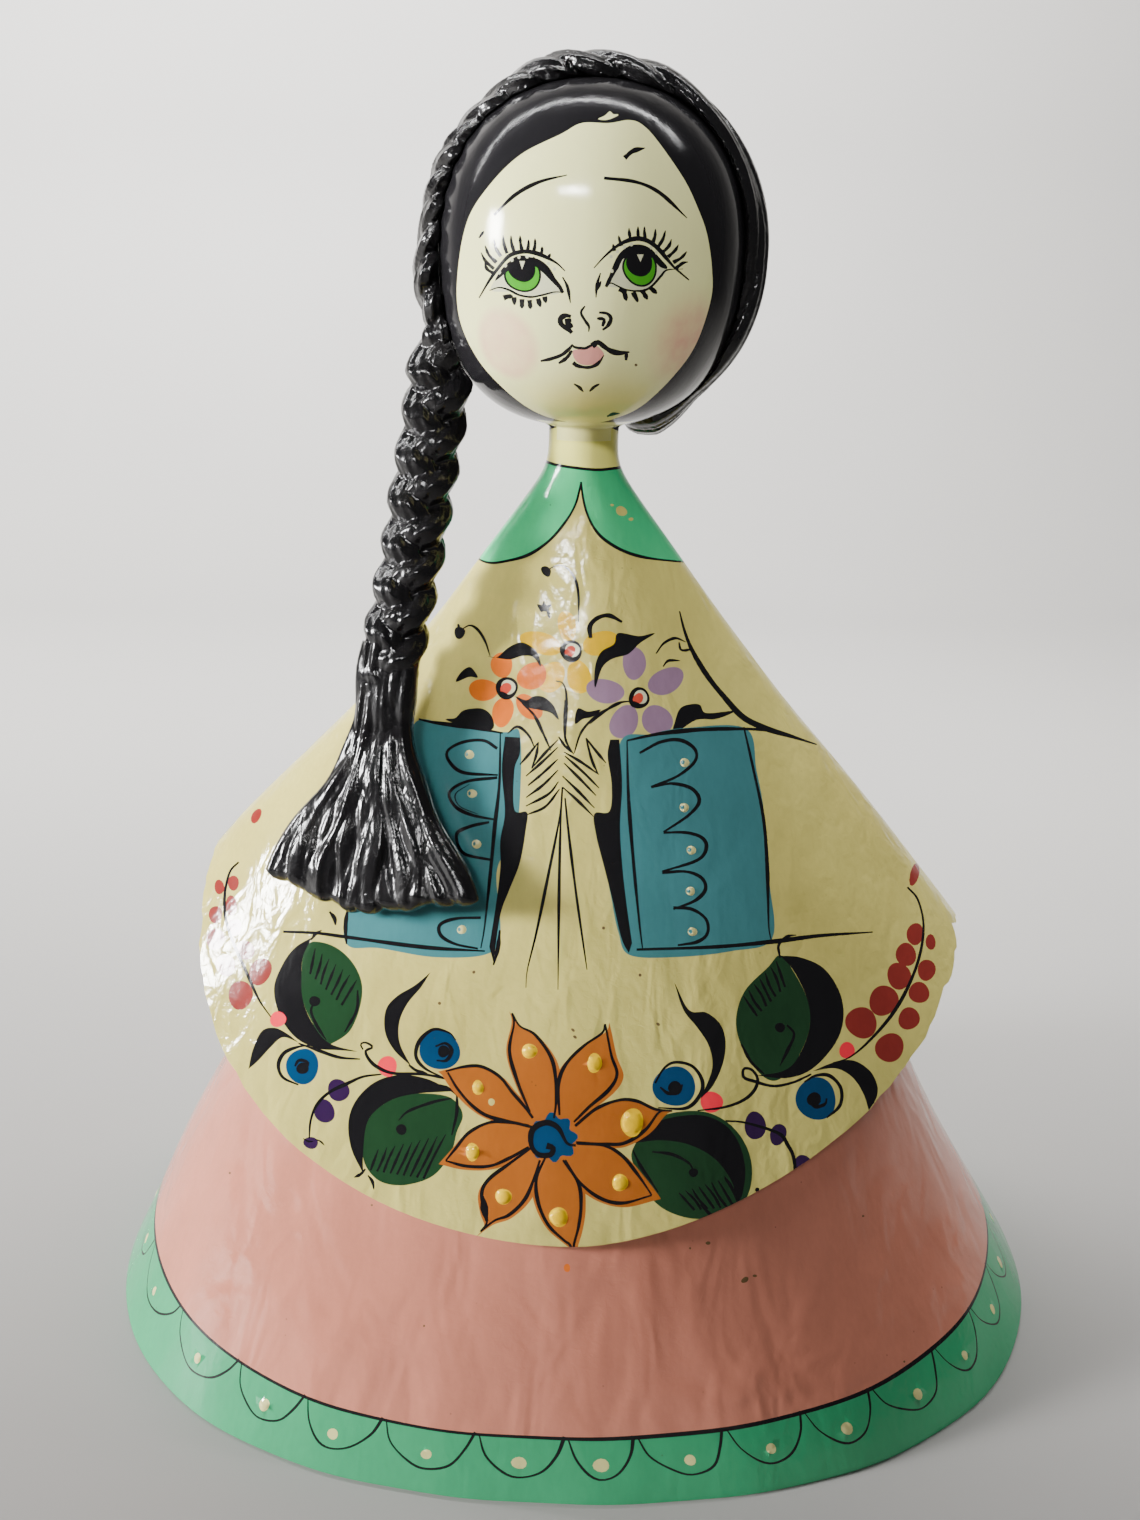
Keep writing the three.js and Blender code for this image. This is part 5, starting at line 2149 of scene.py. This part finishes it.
@dataclass
class Braid:
    """The three-strand braid with its flared tassel, laid over the cape."""

    form: FigureForm
    route: tuple[Triple, ...] = (
        (-39.4, -5.5, 297), (-39.9, -6.5, 288), (-40.3, -7.5, 279), (-42.2, -9, 268), (-44.5, -12.5, 254),
        (-46.9, -16.5, 239), (-49.9, -21, 224), (-53.3, -24.5, 207), (-54.9, -27.5, 191), (-57.8, -34, 174),
        (-60.3, -40.5, 158), (-61.6, -45.5, 145),
    )
    step: float = 0.4
    added_top: float = 0.045
    half_width: float = 8.3
    half_depth: float = 6.6
    top_turn: float = 0.1
    low_turn: float = 0.34
    turn_rate: float = 1.3
    lobe_pitch: float = 11.6
    tassel_half_width: float = 29.0
    tassel_half_depth: float = 4.6
    tassel_start: float = 0.63
    tassel_shift: float = 2.6
    left_short: float = 6.0
    right_short: float = 5.5
    locks: int = 12
    sides: int = 36
    gap: float = 0.25
    voxel: float = 0.48

    def __post_init__(self) -> None:
        """Works out the middle line and the directions across and out from it."""
        self.line = curve(self.route, self.step)
        self.share = np.linspace(-self.added_top, 1, len(self.line))
        self.total = self.step * (len(self.line) - 1) / (1 + self.added_top)
        along = np.gradient(self.line, axis=0)
        along /= np.linalg.norm(along, axis=1)[:, None]
        turned = mix(self.top_turn, self.low_turn, smooth(self.share * self.turn_rate))
        out = np.stack([-np.sin(turned), -np.cos(turned), np.zeros_like(turned)], 1)
        across = np.cross(out, along)
        self.across = across / np.linalg.norm(across, axis=1)[:, None]
        self.out = np.cross(along, self.across)

    def tube(
        self, where: slice, side: Array, rise: Array, wide: Array, deep: Array
    ) -> Array:
        """Rings of one strand or lock.

        Args:
            where: The stretch of the middle line.
            side: Its middle's distance across, for each place.
            rise: Its middle's distance out from the line.
            wide: Half width of the ring's points, by place and turn.
            deep: Half depth of the same.

        Returns:
            The rings, clear of the cape.
        """
        turn = full_turn(self.sides)
        across = side[:, None] + wide * np.cos(turn)
        out = rise[:, None] + deep * np.sin(turn)
        line, sideways, outward = (a[where][:, None] for a in (self.line, self.across, self.out))
        points = line + sideways * across[..., None] + outward * out[..., None]
        push = np.broadcast_to(outward * [1, 1, 0] + [0, 0, 0.2], points.shape)
        return self.form.seated(points.reshape(-1, 3), push.reshape(-1, 3), self.gap).reshape(points.shape)

    def strand(self, number: int) -> Array:
        """Rings of one plaited strand, crossing over just after it leaves each side.

        Args:
            number: Which strand.

        Returns:
            The rings, clear of the cape.
        """
        where = slice(0, int(np.searchsorted(self.share, self.tassel_start + 0.05)))
        share = self.share[where]
        period = 3 * self.lobe_pitch
        phase = 2 * math.pi * (share * self.total / period + number / 3)
        start = np.sqrt(np.clip((share + self.added_top) / 0.085, 0.01, 1))
        top = mix(0.12, 1, start) * mix(0.4, 1, smooth((1 - share / share[-1]) / 0.22))
        turn = full_turn(self.sides)
        hairs = 1 + 0.05 * np.cos(7 * turn + 5 * np.sin(phase)[:, None]) + 0.045 * np.cos(13 * turn + number)
        side = 0.42 * self.half_width * np.sin(phase) * top
        rise = -0.35 * self.half_depth * np.sin(2 * phase) * top
        wide = (0.68 * self.half_width * top)[:, None] * hairs
        deep = (0.6 * self.half_depth * top)[:, None] * hairs
        return self.tube(where, side, rise, wide, deep)

    def lock(self, number: int) -> Array:
        """Rings of one lock of the tassel.

        Args:
            number: Which lock, from the left.

        Returns:
            The rings, clear of the cape.
        """
        start = int(np.searchsorted(self.share, self.tassel_start - 0.11))
        place = 2 * number / (self.locks - 1) - 1
        short = self.left_short * max(-place, 0) ** 1.5 + self.right_short * smooth(place)
        short = short + 0.3 * (number * 7 % 5)
        where = slice(start, len(self.line) - int(short / self.step))
        share = self.share[where]
        open_share = smooth((share - self.tassel_start) / (0.97 - self.tassel_start))
        reach = mix(self.half_width * 0.72, self.tassel_half_width - 3.4, open_share**1.25)
        wander = 1.3 * np.sin(share * 26 + number * 1.9) * open_share
        side = reach * place + wander + self.tassel_shift * open_share * (1 + 0.9 * max(place, 0))
        edge = np.sqrt(np.clip(1 - (0.9 * place) ** 2, 0, 1))
        rise = mix(self.half_depth * 0.25, 0.9, open_share) * edge + 0.5 * np.sin(number * 2.4)
        tip = np.sqrt(np.clip((1 - share / share[-1]) / 0.016, 0.02, 1))
        turn = full_turn(self.sides)
        hairs = 1 + 0.06 * np.cos(6 * turn + number) + 0.04 * np.cos(11 * turn + 9 * share[:, None])
        lumps = 1 + 0.1 * np.sin(share * 47 + number * 2.7)
        half_deep = mix(self.half_depth * 0.5, self.tassel_half_depth * 0.8, open_share)
        wide = (mix(2.8, 5.2, open_share) * tip * lumps)[:, None] * hairs
        deep = (half_deep * tip * lumps)[:, None] * hairs
        return self.tube(where, side, rise, wide, deep)

    def build(self) -> bpy.types.Object:
        """Models and lacquers the braid."""
        tubes = Tubes()
        for number in range(3):
            tubes.add(self.strand(number))
        for number in range(self.locks):
            tubes.add(self.lock(number))
        made = tubes.melt("lacquered_braid", self.voxel, 1)
        made.data.materials.append(LacquerFinish(grain=(1, 1, 0.3)).material("braid_lacquer"))
        return dressed(made, "braid")


def dressed(made: bpy.types.Object, node: str) -> bpy.types.Object:
    """Lets a piece ride on the figure in place of the node of the same name.

    Args:
        made: The piece.
        node: The node it stands for.

    Returns:
        The piece.
    """
    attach(made, "root")
    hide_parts(node)
    return made


@dataclass
class Skirt:
    """The pink card skirt with its scalloped hem."""

    form: SkirtForm

    def build(self) -> bpy.types.Object:
        """Paints and closes the skirt."""
        sheet = PaintedSheet(self.form, 0, self.form.top, Paint.PINK, pitch=2.2, unevenness=0.16)
        Hem(sheet).paint()
        shell = Shell()
        low, high, _ = closed_sheet(shell, sheet, pointed=False)
        shell.cap(low, (0, 0, 0), Paint.CARD)
        top = self.form.top
        shell.cap(high[::-1], (float(self.form.oval(top).x), 0, top), Paint.CARD)
        return dressed(shell.build("painted_skirt"), "skirt")


@dataclass
class HeadAndCape:
    """The cape, neck and head in one, with everything painted on them."""

    form: FigureForm
    lining_rows: int = 40

    def build(self) -> bpy.types.Object:
        """Paints the outside and makes the rim and lining."""
        sheet = PaintedSheet(self.form, -self.form.cape_span, self.form.head_span, Paint.CREAM)
        paint_figure(sheet)
        shell = Shell()
        row, _, turns = closed_sheet(shell, sheet, pointed=True)
        top = self.form.neck_height - self.form.lining_drop
        rim = self.form.rim(turns)
        for share in np.linspace(0, 1, self.lining_rows) ** 1.5:
            z = mix(rim, top, share)
            inner = shell.add(self.form.offset_oval(z, -self.form.card).point(turns, z))
            shell.strip(row, inner, Paint.CARD)
            row = inner
        shell.cap(row, (float(self.form.oval(top).x), 0, top), Paint.CARD)
        return dressed(shell.build("painted_head_and_cape"), "head_and_cape")


@dataclass(frozen=True)
class Lamp:
    """One soft light, with its place, aim and size in metres and its power in watts."""

    name: str
    place: Triple
    aim: Triple
    size: tuple[float, float]
    power: float
    spread: float = 180.0

    def hang(self) -> None:
        """Hangs the light. Its spread is in degrees."""
        data = bpy.data.lights.new(self.name, "AREA")
        data.shape = "RECTANGLE"
        data.size, data.size_y = self.size
        data.energy = self.power
        data.spread = math.radians(self.spread)
        made = linked(self.name, data)
        made.location = self.place
        way = Vector(self.aim) - Vector(self.place)
        made.rotation_euler = way.to_track_quat("-Z", "Y").to_euler()


@dataclass
class Studio:
    """A plain pale floor with a curved back, soft lights and the photograph's camera, in metres."""

    floor_colour: Colour = (142, 140, 137)
    floor_front: float = -2.5
    floor_back: float = 0.9
    floor_half: float = 3.5
    bend_radius: float = 0.5
    wall_top: float = 3.2
    lamps: tuple[Lamp, ...] = (
        Lamp("window", (-1.49, -0.4, 0.56), (0, 0, 0.2), (0.3, 0.32), 66),
        Lamp("front_window", (-0.38, -1.37, 1.16), (0, 0, 0.34), (0.6, 0.12), 0.62, spread=26),
        Lamp("backdrop_lamp", (-0.4, 0.3, 1.0), (-0.2, 1.4, 0.5), (2.0, 0.25), 140),
    )
    sky: tuple[float, ...] = (0.9, 0.92, 0.95, 1)
    sky_strength: float = 0.1

    def floor(self) -> bpy.types.Object:
        """Makes the floor and its curved back."""
        turn = np.linspace(0, math.pi / 2, 24)
        radius, back = self.bend_radius, self.floor_back
        bend = [(back + radius * math.sin(t), radius * (1 - math.cos(t))) for t in turn]
        line = [(self.floor_front, 0.0), *bend, (back + radius, self.wall_top)]
        points = [(side, y, z) for y, z in line for side in (-self.floor_half, self.floor_half)]
        faces = [(2 * k, 2 * k + 1, 2 * k + 3, 2 * k + 2) for k in range(len(line) - 1)]
        mesh = bpy.data.meshes.new("floor")
        mesh.from_pydata(points, [], faces)
        mesh.polygons.foreach_set("use_smooth", [True] * len(faces))
        s = Shader("floor_paper")
        cloud = s.noise(s.place(), 3, 3)
        tint = linear(self.floor_colour)
        colour = s.blend(cloud.band(0.3, 0.7), tint, tuple(c * 0.97 for c in tint))
        mesh.materials.append(s.finish(Base_Color=colour, Roughness=0.6))
        made = linked("floor", mesh)
        return made

    def build(self) -> None:
        """Makes the studio."""
        Sight().camera()
        self.floor()
        for lamp in self.lamps:
            lamp.hang()
        world = bpy.data.worlds.new("studio")
        world.use_nodes = True
        background = world.node_tree.nodes["Background"].inputs
        background["Color"].default_value = self.sky
        background["Strength"].default_value = self.sky_strength
        bpy.context.scene.world = world


def main() -> None:
    """Builds the studio and the figure, piece by piece."""
    logging.basicConfig(level=logging.INFO, format="%(message)s")
    Studio().build()
    figure = FigureForm()
    for maker in (Skirt(SkirtForm(figure)), HeadAndCape(figure), HairRoll(figure), Braid(figure)):
        made = maker.build()
        LOG.info("%s: %d faces", made.name, len(made.data.polygons))


if __name__ == "__main__":
    main()
